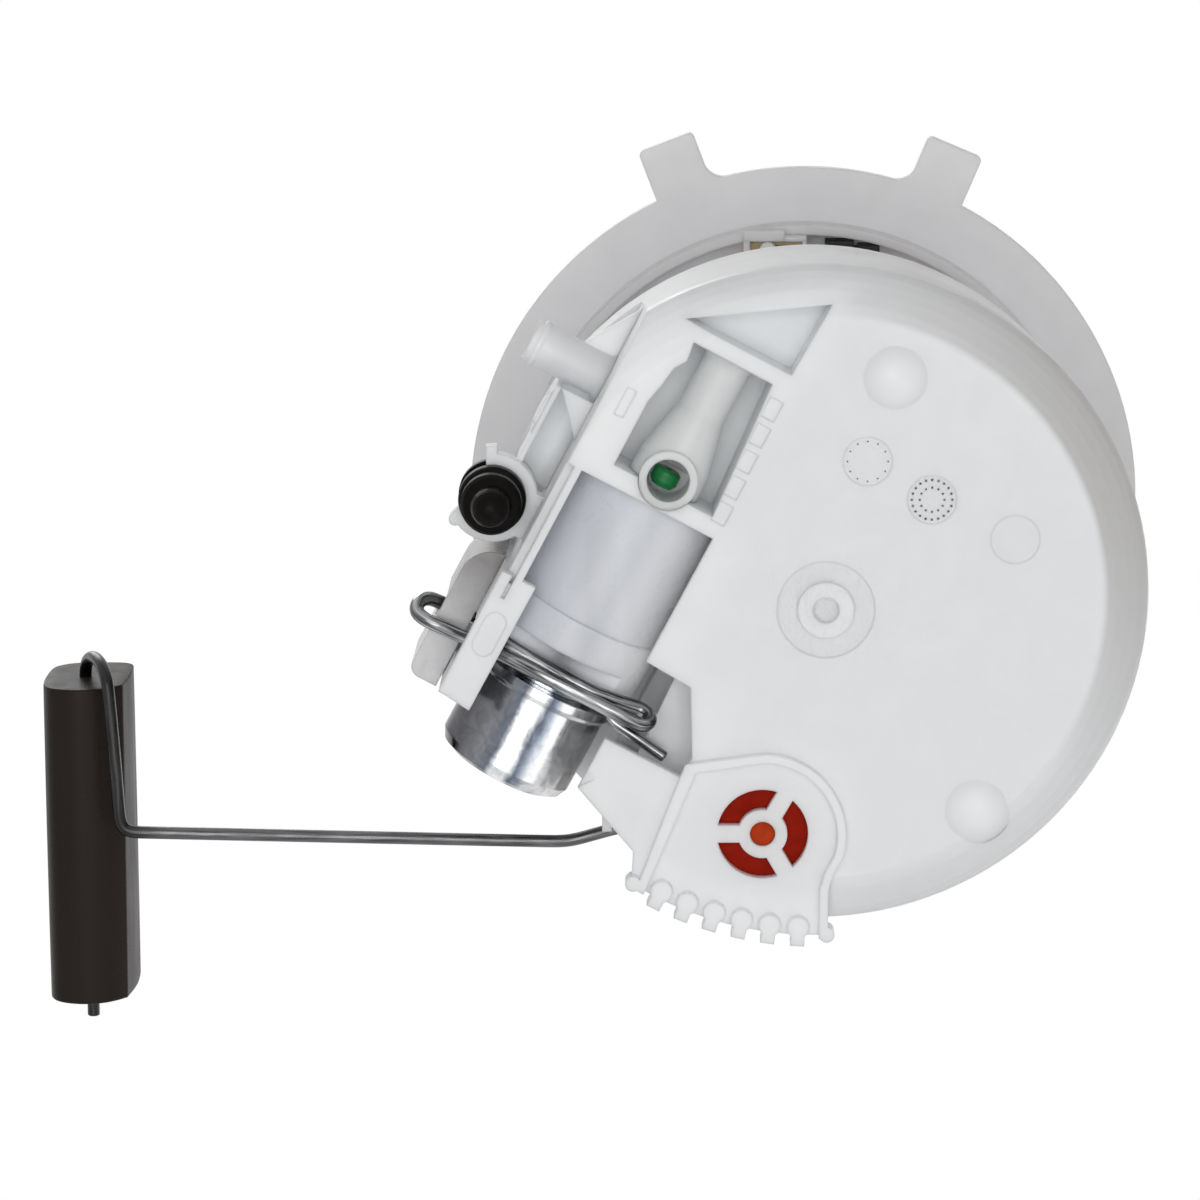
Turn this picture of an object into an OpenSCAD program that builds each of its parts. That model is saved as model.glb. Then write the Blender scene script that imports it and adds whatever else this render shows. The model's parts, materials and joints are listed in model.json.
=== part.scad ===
// Fuel pump module for a plastic tank, standing on its reservoir's feet.
// Origin: centre of the flange's seat, on the module axis. +Z points out of the tank.

/* [Flange] */
// Radius of the flange plate
flange_r = 75.7; // [73:0.1:80]
// Thickness of the flange plate
flange_t = 3.5; // [3:0.1:5]
// Outer radius of the spigot that the ring seal fits over
spigot_r = 63.5; // [62:0.1:66]
// Wall of the spigot
spigot_wall = 2.2; // [1.5:0.1:3]
// Depth of the spigot below the seat
spigot_h = 7; // [5:0.5:9]
// Reach of the two keying tabs from the axis
tab_reach = 87.2; // [82:0.1:90]
// Width of a keying tab
tab_w = 13; // [9:0.5:17]
// Radius of the fillet at a tab's inner root
tab_fillet = 4.5; // [2:0.5:6]

/* [Reservoir] */
// Depth from the flange seat to the reservoir's bottom face
module_depth = 118; // [117:1:140]
// Largest radius of the reservoir's wall
cup_r = 68.4; // [67.5:0.1:69.5]
// Radius of the reservoir at its rim
cup_rim_r = 66; // [65.5:0.1:67]
// Radius of the flat bottom face
cup_flat_r = 58.3; // [56:0.1:60]
// Height of the rounded edge round the bottom face
edge_h = 7; // [5:0.5:9]
// Height of the reservoir
cup_h = 54; // [54:1:60]
// Wall of the reservoir
cup_wall = 2; // [1.6:0.1:2.4]
// Thickness of its floor
cup_floor = 2.5; // [2:0.1:3]
// Height of the feet below the bottom face
foot_h = 2.5; // [2.3:0.1:4]
// Radius of a domed foot
foot_r = 6.4; // [5:0.1:7.5]

/* [Side carrier] */
// Turn of the carrier's own axes about the module axis
carrier_turn = 28; // [26:0.5:30]
// Distance of the carrier's flat side from the axis
side_u = 58; // [57.5:0.1:58.5]
// Height of the space under the upper ring
ring_h = 36; // [36:0.5:38]
// Distance of the regulator bay's wall from the axis
bay_u = 19; // [18:0.5:19.5]
// Depth of the jet pump pocket
pocket_h = 16; // [16:0.5:18]

/* [Regulator] */
// Distance of the regulator's axis from the module axis
reg_u = 39.3; // [39:0.1:39.6]
// Height of the regulator's axis above the bottom face
reg_w = 18.5; // [18.3:0.1:18.8]
// Radius of the regulator housing's collar
reg_collar_r = 17.4; // [17:0.1:17.6]
// Radius of the regulator can
reg_can_r = 14.5; // [13.5:0.1:14.8]
// Length of the can past its crimped edge
reg_can_len = 20.3; // [17:0.1:22]
// Thickness of the clip's wire
clip_d = 2.9; // [2.4:0.1:3]

/* [Jet pump] */
// Radius of the venturi tube
venturi_r = 5.1; // [4.6:0.1:5.6]
// Outer radius of the jet port's ring
port_r = 6.05; // [5.8:0.05:6.3]
// Bore radius of the jet port
port_bore_r = 4.4; // [4:0.1:4.6]
// Radius of the transfer nipple's tube
nipple_r = 4.7; // [4.2:0.1:5]
// Wall of the transfer nipple
nipple_wall = 1.1; // [0.9:0.1:1.5]
// Length of the transfer nipple
nipple_len = 17.5; // [15:0.5:24]

/* [Level sender] */
// Distance of the sender's flat from the module axis
sender_y = 46; // [45.5:0.1:46.5]
// Height of the pivot above the bottom face
pivot_w = 45; // [44:0.5:46]
// Thickness of the float arm's wire
arm_d = 2.7; // [2.2:0.1:3]
// Length of the arm from the pivot to the float's leg
arm_len = 118; // [105:1:130]
// Length of the float
float_len = 69.8; // [60:0.1:72]
// Width of the float
float_w = 17; // [15:0.5:19]
// Depth of the float
float_t = 29; // [25:0.5:30]

/* [Pump and filter] */
// Distance of the pump's axis from the module axis
pump_x = 24; // [23:0.5:25]
// Radius of the pump's can
pump_r = 19; // [17:0.1:19.5]
// Radius of the filter canister
filter_r = 36; // [34:0.5:37]
// Height of the filter canister
filter_h = 59; // [55:1:60]

/* [Guide rods] */
// Distance between the two guide rods
rod_gap = 92.8; // [90:0.2:94]
// Thickness of a guide rod
rod_d = 6; // [5:0.1:6.4]
// How far the flange can be pushed down
travel = 28; // [20:1:28]
// Turns of a spring
spring_turns = 9; // [7:1:10]

/* [Outlet and wiring] */
// Radius of the fuel outlet's pipe end
outlet_r = 3.95; // [3.5:0.05:4.5]
// Length of the fuel outlet's straight end
outlet_len = 24; // [20:1:32]
// Radius of the corrugated hose
hose_r = 5.6; // [5.2:0.1:6]

/* [Hidden] */
$fn = 72;

// Clearance between pieces that are fitted together
fit = 0.1;
// Radial clearance of a shaft that slides or turns
running = 0.05;
// Reach of a cut that goes clear of the part
far = 100;
// Depth by which a cut passes a face
past = 1;

// Angle at which the bottom edge's curve starts, which leaves a crease round the flat
edge_start = 30;
// Height of the flange's inner lugs below the seat
lug_h = 10;
// Inner end of the ribs on the flange
rib_start = 54;
// Top face of the reservoir cover
cover_t = 2.5;
cover_top = cup_h + cover_t;
// Pump and filter heights above the bottom face
isolator_h = 6.5;
filter_bottom = cup_floor + isolator_h;
filter_top = filter_bottom + filter_h;
filter_wall = 2;
pump_bottom = filter_bottom + 5;
pump_top = filter_top - 8;
shaft_r = 1.6;
// Height of the sender's shelf and its right end
shelf_w = 14;
sender_x = -12;
pivot_x = -30;
// Height and place of the umbrella valve
valve_xy = [-10.7, 49];
valve_slot_r = 9.4;
valve_hub_r = 5.1;
valve_stem_r = 2.6;
// Fence and comb round the umbrella valve
fence_h = foot_h - 0.5;
fence_t = 1.8;
comb_r = cup_r + 0.2;
comb_far = comb_r + 7;
comb_start = 3.35;
comb_step = 5.89;
// Depth of the shallow marks in the carrier
mark_depth = 0.6;
// Clear way for the regulator clip through the housing's collar
clip_cut_w = 6.2;
// Places of the guide rods
rod_x = 12.4;
rod_ys = [-rod_gap / 2, rod_gap / 2];
// The rod's tip stays off the floor when the flange is pushed down, and its clip sits under the guide
rod_tip = cup_floor + 2.5 + travel;
guide_bottom = rod_tip + 4.5;
guide_len = cover_top + past - guide_bottom;
// Places of the cover's snap hooks round the wall
latch_turns = [-82, 8, 86, 188];
// Outlet riser, above the regulator
riser_v = 20;
riser_r = 5;
riser_top = 68;
riser_x = -reg_u * cos(carrier_turn) - riser_v * sin(carrier_turn);
riser_y = -reg_u * sin(carrier_turn) + riser_v * cos(carrier_turn);
// Height of the jet port's roof, and the transfer nipple's place
port_roof = 11;
nipple_v = -17.5;
nipple_w = 21.5;
// Bumper, in the carrier's axes
bumper_uv = [-67.5, 14.3];
bumper_neck_r = 5;
bumper_neck = [12.8, 17];
bumper_disc_r = 7.2;
// Outer radius of the ring round the bumper, and the near edge of the trough beside it
holder_r = 9.2;
trough_w = 15;

// Origin at the bottom face
module at_base() {
    translate([0, 0, -module_depth]) children();
}

// Carrier axes: u across its flat side, v along it
module in_carrier() {
    rotate([0, 0, carrier_turn]) children();
}

// Turns a form made along z so that it runs along +y
module along_y() {
    rotate([-90, 0, 0]) children();
}

// Ring or tube
module pipe(r_out, r_in, h) {
    difference() {
        cylinder(r = r_out, h = h);
        translate([0, 0, -past]) cylinder(r = r_in, h = h + 2 * past);
    }
}

// Slot with round ends, along x
module slot(length, w, h) {
    translate([-(length - w) / 2, -w / 2, 0]) cube([length - w, w, h]);
    for (side = [-1, 1]) translate([side * (length - w) / 2, 0, 0]) cylinder(r = w / 2, h = h);
}

function unit(v) = v / norm(v);

// Point on a smooth curve between the second and third of four points
function between(a, b, c, d, t) =
    0.5 * (2 * b + (c - a) * t + (2 * a - 5 * b + 4 * c - d) * t * t
        + (3 * b - a - 3 * c + d) * t * t * t);

// Smooth curve through a list of points
function smooth(pts, steps) = let (last = len(pts) - 1) concat(
    [for (i = [0 : last - 1], k = [0 : steps - 1])
        between(pts[max(i - 1, 0)], pts[i], pts[i + 1], pts[min(i + 2, last)], k / steps)],
    [pts[last]]);

// Direction of a path at one of its points
function heading(path, i) = unit(path[min(i + 1, len(path) - 1)] - path[max(i - 1, 0)]);

// Ring of points round a path's point, set out from a fixed side direction
function hoop(p, dir, side, r, n) =
    let (a = unit(cross(dir, side)), b = cross(dir, a))
    [for (k = [0 : n - 1]) p + r * (cos(360 * k / n) * a + sin(360 * k / n) * b)];

// Tube swept along a path, whose radius can change from ring to ring
module swept(path, radii, n, side) {
    m = len(path);
    polyhedron(
        points = [for (i = [0 : m - 1])
            each hoop(path[i], heading(path, i), side, is_list(radii) ? radii[i] : radii, n)],
        faces = concat(
            [[for (k = [0 : n - 1]) k]],
            [for (i = [0 : m - 2], k = [0 : n - 1])
                [i * n + k, (i + 1) * n + k, i * n + (k + 1) % n]],
            [for (i = [0 : m - 2], k = [0 : n - 1])
                [i * n + (k + 1) % n, (i + 1) * n + k, (i + 1) * n + (k + 1) % n]],
            [[for (k = [n - 1 : -1 : 0]) (m - 1) * n + k]]));
}

// Outline of the reservoir's wall, moved in by a wall's thickness
function cup_outline(inset, bottom, top) = concat(
    [[0, bottom], [cup_flat_r - inset, bottom]],
    [for (t = [edge_start : 10 : 90]) [
        cup_flat_r + (cup_r - cup_flat_r) * (sin(t) - sin(edge_start)) / (1 - sin(edge_start))
            - inset,
        max(bottom, edge_h * (cos(edge_start) - cos(t)) / cos(edge_start) + bottom / 4)]],
    [[cup_rim_r - inset, top], [0, top]]);

// Space outside the flat side, below the upper ring
module side_space(wall) {
    translate([-far - side_u + wall, -far, -past]) cube([far, 2 * far, ring_h + wall + past]);
}

// Space of the regulator bay, below the upper ring
module bay_space(wall) {
    low = wall > 0 ? -past : cup_floor;
    translate([-far - bay_u + wall, -1.5 - wall, low]) cube([far, far, ring_h + wall - low]);
}

// Space of the clip's end inside the bay's wall
module clip_space(wall) {
    low = wall > 0 ? -past : cup_floor;
    translate([-30, 26 - wall, low]) cube([25.5 + wall, 25 + 2 * wall, 31 + wall - low]);
}

// Space of the jet pump's pocket with its walls
module pocket_wall() {
    translate([-side_u - past, -37.2, -past]) cube([side_u + past - 24.2, 36, pocket_h + 3]);
    linear_extrude(11) polygon([[-60, -35], [-22, -62], [-23.8, -35]]);
}

// Recess that the level sender is mounted in
module sender_space(wall) {
    translate([-far, sender_y - wall, shelf_w - wall]) cube([far + sender_x + wall, far, far]);
}

// Outer form of the reservoir less everything that its outside leaves open
module cup_shell() {
    difference() {
        rotate_extrude($fn = 144) polygon(cup_outline(0, 0, cup_h));
        in_carrier() {
            side_space(0);
            bay_space(0);
            clip_space(0);
            // The floor stands out past the bay's wall by a lip
            translate([-far - 24.5, -1.5, -past]) cube([far, far, ring_h + past]);
        }
        sender_space(0);
        // Diagonal edge beside the valve's pad
        rotate([0, 0, 140.8]) translate([62.6, -far, -past]) cube([far, 2 * far, ring_h + past]);
        difference() {
            rotate_extrude($fn = 144) polygon(cup_outline(cup_wall, cup_floor, cup_h + past));
            in_carrier() {
                side_space(cup_wall);
                bay_space(cup_wall);
                clip_space(cup_wall);
                pocket_wall();
            }
            sender_space(cup_wall);
            rotate([0, 0, 140.8]) translate([62.6 - cup_wall, -far, -past])
                cube([far, 2 * far, ring_h + cup_wall + past]);
        }
    }
}

// Domed feet
module feet() {
    dome_r = (foot_r * foot_r + foot_h * foot_h) / (2 * foot_h);
    for (place = [[15.9, -46], [33.2, 43.9]]) {
        translate(place) intersection() {
            translate([0, 0, dome_r - foot_h]) sphere(r = dome_r, $fn = 96);
            translate([0, 0, -foot_h]) cylinder(r = foot_r + past, h = foot_h + past);
        }
    }
}

// Points on an arc
function arc(centre, r, from, to, step) =
    [for (t = [from : step : to]) centre + r * [cos(t), sin(t)]];

// Outline of the fence, moved in by its thickness
function fence_outline(inset) = concat(
    [[-38, 66], [-36.6 + inset, 60 + inset * 0.3], [-26.6 + inset * 1.2, 33.9 + inset]],
    arc(valve_xy, 17.2 - inset, -88, 16, 8),
    [[3.9 - inset, 57], [2.9 - inset, 60.5], [2.7 - inset, comb_far], [-38, comb_far]]);

// Flat pad round the umbrella valve, with its fence and the comb on its outer edge
module valve_pad() {
    intersection() {
        cylinder(r = comb_r + 1.8, h = cup_floor, $fn = 144);
        linear_extrude(cup_floor) polygon([[-48.7, 39.2], [-37.4, 52.7], [-37.7, 57.9],
            [-37, comb_far], [2.4, comb_far], [3.4, 57], [6.4, 45], [-10, 30], [-30, 30]]);
    }
    translate([0, 0, -fence_h]) {
        intersection() {
            linear_extrude(fence_h + past) difference() {
                polygon(fence_outline(0));
                polygon(fence_outline(fence_t));
            }
            cylinder(r = comb_r + 2.2, h = 3 * fence_h, $fn = 144);
        }
        for (i = [-1 : 6]) rotate([0, 0, 90 + (comb_start + comb_step * i) / comb_r * 180 / PI]) {
            end = i < 0 || i > 5;
            height = fence_h + cup_floor;
            translate([end ? comb_r + 1.4 : comb_r, 0, 0])
                cylinder(r = end ? 1.6 : 2.25, h = height, $fn = 40);
            if (!end) translate([comb_r, -1.45, 0]) cube([3.8, 2.9, height]);
        }
    }
}

// Slots, hub and stem hole of the umbrella valve's seat
module valve_seat() {
    translate([valve_xy[0], valve_xy[1], -past]) {
        cylinder(r = valve_stem_r, h = cup_floor + 3 * past);
        difference() {
            pipe(valve_slot_r, valve_hub_r, cup_floor + 3 * past);
            for (turn = [180, 60, -60]) rotate([0, 0, turn])
                translate([0, -1.8, -past]) cube([valve_slot_r + past, 3.6, cup_floor + 6]);
        }
    }
}

// Rail, arm plate and arm wall beside the regulator bay
module side_arm() {
    translate([-56.3, -2.5, 0]) cube([1.6, 30, 5]);
    // Outer wall of the bay, set out from the rail
    translate([-side_u, -2.5, 3.8]) {
        cube([side_u - 54.7, 29, 1.2]);
        cube([1.4, 29, ring_h + 2 - 3.8]);
    }
    linear_extrude(2.6) polygon([[-56.3, 24.5], [-51.7, 24.5], [-51.9, 53.6], [-59, 52.9],
        [-59.3, 29.6], [-56.3, 29.6]]);
    difference() {
        translate([-59.3, 24.5, 0]) cube([2.2, 28.5, ring_h + 2]);
        translate([-60, 37, 5]) cube([4, 9.5, 29]);
    }
}

// Cuts in the carrier: pocket, corner recess, clip notch, rail slot and comb notches
module carrier_cuts() {
    translate([0, 0, -past]) {
        linear_extrude(pocket_h + past) polygon([[-46.9, -35.3], [-28.8, -35.2], [-26.7, -5.4],
            [-49.5, -5.6], [-49.5, -20.4], [-48.6, -24.5], [-48, -28.8], [-46.4, -31.3]]);
        translate([-38.2, -7.8]) cylinder(r = port_r + fit, h = pocket_h + past);
        linear_extrude(10) polygon([[-50.5, -36.7 - 1.9], [-25.8, -55.1], [-26.3, -38.6]]);
        linear_extrude(cup_floor + 2 * past) polygon([[-25.2, 27.4], [-14, 28], [-6.7, 41.1],
            [-7.2, 45.7], [-26, 45.7]]);
        translate([-54.4, -21]) cube([2, 6.1, past + mark_depth]);
        for (i = [0 : 4]) translate([-26.5 + i * 0.3, -30.6 + 5.9 * i])
            translate([-1.5, -2.2]) cube([3, 4.4, past + mark_depth]);
        translate([-55.6, 37.5]) rotate([0, 0, 90]) slot(9.8, 4.6, past + 0.4);
    }
}

// White moulded reservoir
module reservoir_cup() color("whitesmoke") at_base() difference() {
    union() {
        difference() {
            union() {
                cup_shell();
                valve_pad();
            }
            translate([2.1, 1.9, -past]) cylinder(r = 10, h = past + 0.5);
        }
        feet();
        translate([2.1, 1.9, -0.8]) cylinder(r = 5.8, h = 2);
        in_carrier() side_arm();
    }
    translate([2.1, 1.9, -1 - past]) cylinder(r = 2.7, h = 2 + past);
    valve_seat();
    in_carrier() {
        carrier_cuts();
        translate([-side_u - past, nipple_v, nipple_w]) rotate([0, 90, 0])
            cylinder(r = nipple_r - nipple_wall, h = cup_wall + 2 * past);
        translate([-reg_u, riser_v, ring_h - past]) cylinder(r = riser_r + fit, h = 4);
    }
    // Shallow round marks, left bare
    for (place = [[10.4, -28.8], [23.5, -20.9], [40.5, -12.7]])
        translate([place[0], place[1], -past]) cylinder(r = 5, h = past + 0.25);
    latches(0.3, 3);
}

// Snap hooks of the cover, or the windows that they sit in
module latches(gap, reach) {
    for (turn = latch_turns) rotate([0, 0, turn])
        translate([cup_rim_r - cup_wall - past, -3.5 - gap, 44 - gap])
            cube([reach, 7 + 2 * gap, 3 + 2 * gap]);
}

// Red rubber valve: stem through the floor and a flap over the slots
module umbrella_valve() color([0.7, 0.16, 0.05]) at_base() translate(valve_xy) {
    rotate_extrude() polygon([[0, -0.4], [1.4, -0.4], [valve_stem_r - fit, 0.4],
        [valve_stem_r - fit, cup_floor + 0.05], [valve_slot_r + 0.6, cup_floor + 0.05],
        [valve_slot_r + 0.6, cup_floor + 0.9], [4, cup_floor + 2], [0, cup_floor + 2.2]]);
}

// Venturi tube of the jet pump, with the port that faces down
module venturi_tube() color("gainsboro") at_base() in_carrier() translate([-38.2, 0, 8]) {
    difference() {
        union() {
            translate([0, -35.2, 0]) along_y() rotate_extrude() polygon([[0, 0],
                [venturi_r + 0.6, 0], [venturi_r, 2], [venturi_r, 13], [7.6, 24], [7.8, 29.5],
                [0, 29.5]]);
            translate([0, -7.8, -8]) cylinder(r = port_r, h = 14);
        }
        translate([0, -35.2 - past, 0]) along_y() rotate_extrude() polygon([[0, 0], [3.2, 0],
            [3.2, 13], [5, 27], [0, 27]]);
        translate([0, -7.8, -8 - past]) cylinder(r = port_bore_r, h = port_roof + past);
    }
}

// Green nozzle inside the jet port, hung from the port's roof
module jet_nozzle() color([0.08, 0.43, 0.18]) at_base() in_carrier()
    translate([-38.6, -8.9, 7.4]) {
        along_y() rotate_extrude($fn = 40) polygon([[0.8, 0], [2.4, 0], [2.9, 0.5], [2.9, 2.6],
            [2.2, 3.7], [0, 3.7], [0, 2.5], [0.8, 2.5]]);
        translate([0, 1.8, 2.2]) cylinder(r = 1.2, h = port_roof - 7.4 - 2.2, $fn = 32);
    }

// Nipple on the flat side, for the line from the tank's other half, with its gusset
module transfer_nipple() color("whitesmoke") at_base() in_carrier() {
    difference() {
        union() {
            translate([-side_u, nipple_v, nipple_w]) rotate([0, -90, 0]) rotate_extrude()
                polygon([[0, 0], [nipple_r + 0.9, 0], [nipple_r + 0.3, 0.5], [nipple_r, 1.4],
                    [nipple_r, nipple_len - 2.6], [nipple_r + 0.35, nipple_len - 2.2],
                    [nipple_r + 0.35, nipple_len - 1.5], [nipple_r, nipple_len - 1.1],
                    [nipple_r, nipple_len], [0, nipple_len]]);
            translate([0, 0, nipple_w - 0.8]) linear_extrude(1.6) polygon([
                [-side_u, nipple_v - nipple_r - 11.7], [-side_u, nipple_v],
                [-side_u - 7.4, nipple_v], [-side_u - 7.4, nipple_v - nipple_r]]);
        }
        translate([-side_u + past, nipple_v, nipple_w]) rotate([0, -90, 0])
            cylinder(r = nipple_r - nipple_wall, h = nipple_len + 2 * past);
    }
}

// Black bumper, the third foot
module rubber_bumper() color([0.13, 0.13, 0.13]) at_base() in_carrier() translate(bumper_uv)
    rotate_extrude() polygon(concat(
        [for (t = [0 : 15 : 75]) [4.1 * sin(t), 1.6 - (foot_h + 1.6) * cos(t)]],
        [[4.1, 1.6], [4.3, 3.2], [5.7, 3.9], [6.3, 4.8], [6.3, 7.4], [5.6, 8.2], [5.6, 9.2],
            [6.7, 9.6], [7, 10.2], [7, bumper_neck[0]], [bumper_neck_r, bumper_neck[0]],
            [bumper_neck_r, bumper_neck[1]], [bumper_disc_r, bumper_neck[1]],
            [bumper_disc_r, bumper_neck[1] + 2.4], [6, bumper_neck[1] + 3.2],
            [0, bumper_neck[1] + 3.2]]));

// Trough on the flat side, with the open ring that holds the bumper at its end
module bumper_holder() color("whitesmoke") at_base() in_carrier() {
    low = bumper_neck[0] + fit;
    thick = bumper_neck[1] - bumper_neck[0] - 2 * fit;
    difference() {
        union() {
            translate([bumper_uv[0], bumper_uv[1], low]) {
                difference() {
                    cylinder(r = holder_r, h = thick);
                    // The ring is open away from the reservoir
                    translate([0, 0, -past]) linear_extrude(thick + 2 * past)
                        polygon([[0, 0], for (t = [125, 182, 240]) 3 * holder_r * [cos(t), sin(t)]]);
                }
                rotate([0, 0, 241]) translate([bumper_neck_r + 0.6, -1.15, 0])
                    cube([5.2, 2.3, thick]);
                translate([-4.4, 6.3, 0]) rotate([0, 0, -75]) slot(5.4, 2.6, thick);
            }
            translate([-side_u - 4, bumper_uv[1] - 5, low]) cube([4, 10, thick]);
            holder_trough();
        }
        translate([bumper_uv[0], bumper_uv[1], low - past])
            cylinder(r = bumper_neck_r + fit, h = thick + 2 * past);
        translate([bumper_uv[0], bumper_uv[1], low + thick])
            cylinder(r = bumper_disc_r + 1.2, h = far);
    }
}

// Trough along the flat side: thin outer wall with small steps, round floor, gusset at its end
module holder_trough() {
    reach = 8.6;
    wall = 1.1;
    from = nipple_v + nipple_r + 0.4;
    length = bumper_uv[1] - 5 - from;
    groove_r = 4.1;
    translate([-side_u - reach, from, trough_w]) {
        difference() {
            cube([reach, length, 13]);
            translate([wall + groove_r, -past, 6]) along_y()
                cylinder(r = groove_r, h = length + 2 * past);
            translate([wall, -past, -past]) cube([far, length + 2 * past, past + 6]);
        }
        linear_extrude(1.4) polygon([[wall, 0], [reach, 0], [reach, 8.6]]);
        translate([-0.75, 4, 1]) cube([past, 5.2, 8]);
        translate([-0.3, 1.8, 1]) cube([past, 9.4, 8]);
    }
}

// White housing that the regulator is clipped into, seated under the bay's roof
module regulator_housing() color("white") at_base() in_carrier() {
    difference() {
        union() {
            translate([-reg_u, -1.5, reg_w]) along_y() rotate_extrude() polygon([[0, 0],
                [reg_collar_r - 1.2, 0], [reg_collar_r - 0.8, 28.5], [reg_collar_r, 28.5],
                [reg_collar_r, 41], [0, 41]]);
            translate([-reg_u - 9, 2, 30]) cube([18, 30, ring_h - 30]);
        }
        translate([-reg_u, 12, reg_w]) along_y() cylinder(r = 12.2, h = far);
        translate([-reg_u - far / 2, 34.2, clip_cut_w - far]) cube([far, far, far]);
        translate([-reg_u, riser_v, ring_h - 8]) cylinder(r = 2.5, h = far);
    }
}

// Bright can of the regulator, with its crimped edge and its neck
module regulator_can() color("silver") at_base() in_carrier()
    translate([-reg_u, 12.5, reg_w]) along_y() rotate_extrude() {
        crimp = 31.2;
        tail = crimp + reg_can_len + 1.5;
        difference() {
            polygon([[0, 0], [9.5, 0], [11, 1.5], [11, 4], [9.9, 4], [9.9, 7], [11, 7], [11, 14],
                [9.9, 14], [9.9, 17], [11, 17], [11, crimp], [reg_can_r + 0.8, crimp],
                [reg_can_r + 0.8, crimp + 2], [reg_can_r, crimp + 3], [reg_can_r, tail - 3],
                [reg_can_r - 1, tail - 1], [reg_can_r - 3, tail], [0, tail]]);
            polygon([[0, -past], [3.5, -past], [3.5, 6], [8, 8], [8, crimp + 1],
                [reg_can_r - 1.2, crimp + 4], [reg_can_r - 1.2, tail - 3],
                [reg_can_r - 3.4, tail - 1.2], [0, tail - 1.2]]);
        }
    }

// Two O-rings on the regulator's neck
module regulator_seals() color([0.15, 0.12, 0.1]) at_base() in_carrier()
    for (v = [18, 28]) translate([-reg_u, v, reg_w]) along_y()
        rotate_extrude() translate([11.03, 0]) circle(r = 1.1, $fn = 24);

// Hairpin clip of spring wire that straddles the regulator's neck
clip_route = [[-55.5, 37.3, 6.8], [-51.5, 37.6, 4.4], [-44, 37.8, 2.7], [-33, 37.8, 2.2],
    [-25, 37, 2.5], [-20.8, 35.9, 3], [-18.5, 36.6, 3.4], [-18.4, 38.5, 3.6], [-20.8, 40, 3.6],
    [-25, 40.8, 3.1], [-33, 41.2, 2.5], [-42, 41.2, 3], [-48.6, 40.9, 4], [-54.5, 41.6, 6.6],
    [-59.7, 42.5, 9.8], [-64, 43, 11.6], [-67.8, 43.4, 12.4], [-70.2, 43, 13.9],
    [-70.7, 41.5, 15.8], [-69.3, 40.3, 17.8], [-66.4, 40.2, 19.8], [-62, 40.8, 23],
    [-57.5, 41.3, 27], [-50, 41.7, 31], [-39.3, 41.7, 32.4], [-31, 41.7, 31.2],
    [-26.5, 43, 29.6], [-23.4, 45.6, 28], [-19, 46.9, 26.2], [-10.5, 47.6, 23]];
module regulator_clip() color("silver") at_base() in_carrier()
    swept(smooth(clip_route, 3), clip_d / 2, 10, [0.1, 1, 0.05]);

// Milky side chamber beside the arm, whose near face hides the clip's far strand
module side_chamber() color([0.9, 0.93, 0.95]) at_base() in_carrier() {
    reach = 6.7;
    from = 24;
    to = 55.3;
    corner_r = 2.5;
    difference() {
        translate([-59.5, 0, shelf_w]) linear_extrude(22) {
            translate([0, from + reach]) circle(r = reach);
            translate([-reach, from + reach]) square([reach, to - corner_r - from - reach]);
            translate([corner_r - reach, to - corner_r]) circle(r = corner_r, $fn = 40);
            translate([corner_r - reach, to - corner_r]) square([reach - corner_r, corner_r]);
        }
        translate([-59.3, 0, 0]) cube([far, far, far]);
        translate([-70, 37.6, 17.4]) cube([far, 6.6, 20]);
    }
}

// Cover of the reservoir with the two guide tubes and its overflow windows
module reservoir_cover() color("whitesmoke") at_base() {
    difference() {
        union() {
            translate([0, 0, cup_h]) cylinder(r = cup_rim_r, h = cover_t, $fn = 144);
            for (y = rod_ys) translate([rod_x, y, guide_bottom])
                cylinder(r = rod_d / 2 + 2.5, h = guide_len);
            translate([pump_x, 0, cup_h]) cylinder(r = filter_r + 2.2, h = cover_t + 3);
        }
        translate([pump_x, 0, cup_h - past]) cylinder(r = filter_r + fit, h = far);
        for (y = rod_ys) translate([rod_x, y, 0]) cylinder(r = rod_d / 2 + running, h = far);
        in_carrier() translate([-reg_u, riser_v, cup_h - past])
            cylinder(r = riser_r + fit, h = far);
        translate([-far, sender_y - 0.3, cup_h - past]) cube([far + sender_x, far, far]);
        translate([-31, 27, cup_h - past]) slot(24, 14, far);
        for (y = [-47.5, 47.5]) translate([29, y, cup_h - past]) slot(14, 9, far);
    }
    // Hooks that reach down inside the wall and into its windows
    for (turn = latch_turns) rotate([0, 0, turn])
        translate([cup_rim_r - cup_wall - 1.8, -3, 43]) cube([1.6, 6, cup_h - 43 + 0.5]);
    intersection() {
        latches(0, 2.5);
        cylinder(r = cup_rim_r + 0.2, h = far);
    }
}

// Canister round the pump that holds the filter element
module filter_canister() color([0.2, 0.2, 0.21]) at_base()
    translate([pump_x, 0, filter_bottom]) rotate_extrude($fn = 96)
        polygon([[pump_r + 0.4, 0], [filter_r - 2, 0], [filter_r, 2], [filter_r, filter_h],
            [filter_r - filter_wall, filter_h], [filter_r - filter_wall, filter_wall],
            [pump_r + 0.4 + filter_wall, filter_wall], [pump_r + 0.4 + filter_wall, filter_h],
            [pump_r + 0.4, filter_h]]);

// Pleated paper element
module filter_element() color("khaki") at_base()
    translate([pump_x, 0, filter_bottom + filter_wall + fit]) linear_extrude(filter_h - 5)
        difference() {
            pleats = 36;
            polygon([for (i = [0 : 2 * pleats - 1])
                (i % 2 == 0 ? filter_r - 3 : filter_r - 6) * [cos(180 * i / pleats),
                    sin(180 * i / pleats)]]);
            circle(r = pump_r + 5);
        }

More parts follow.
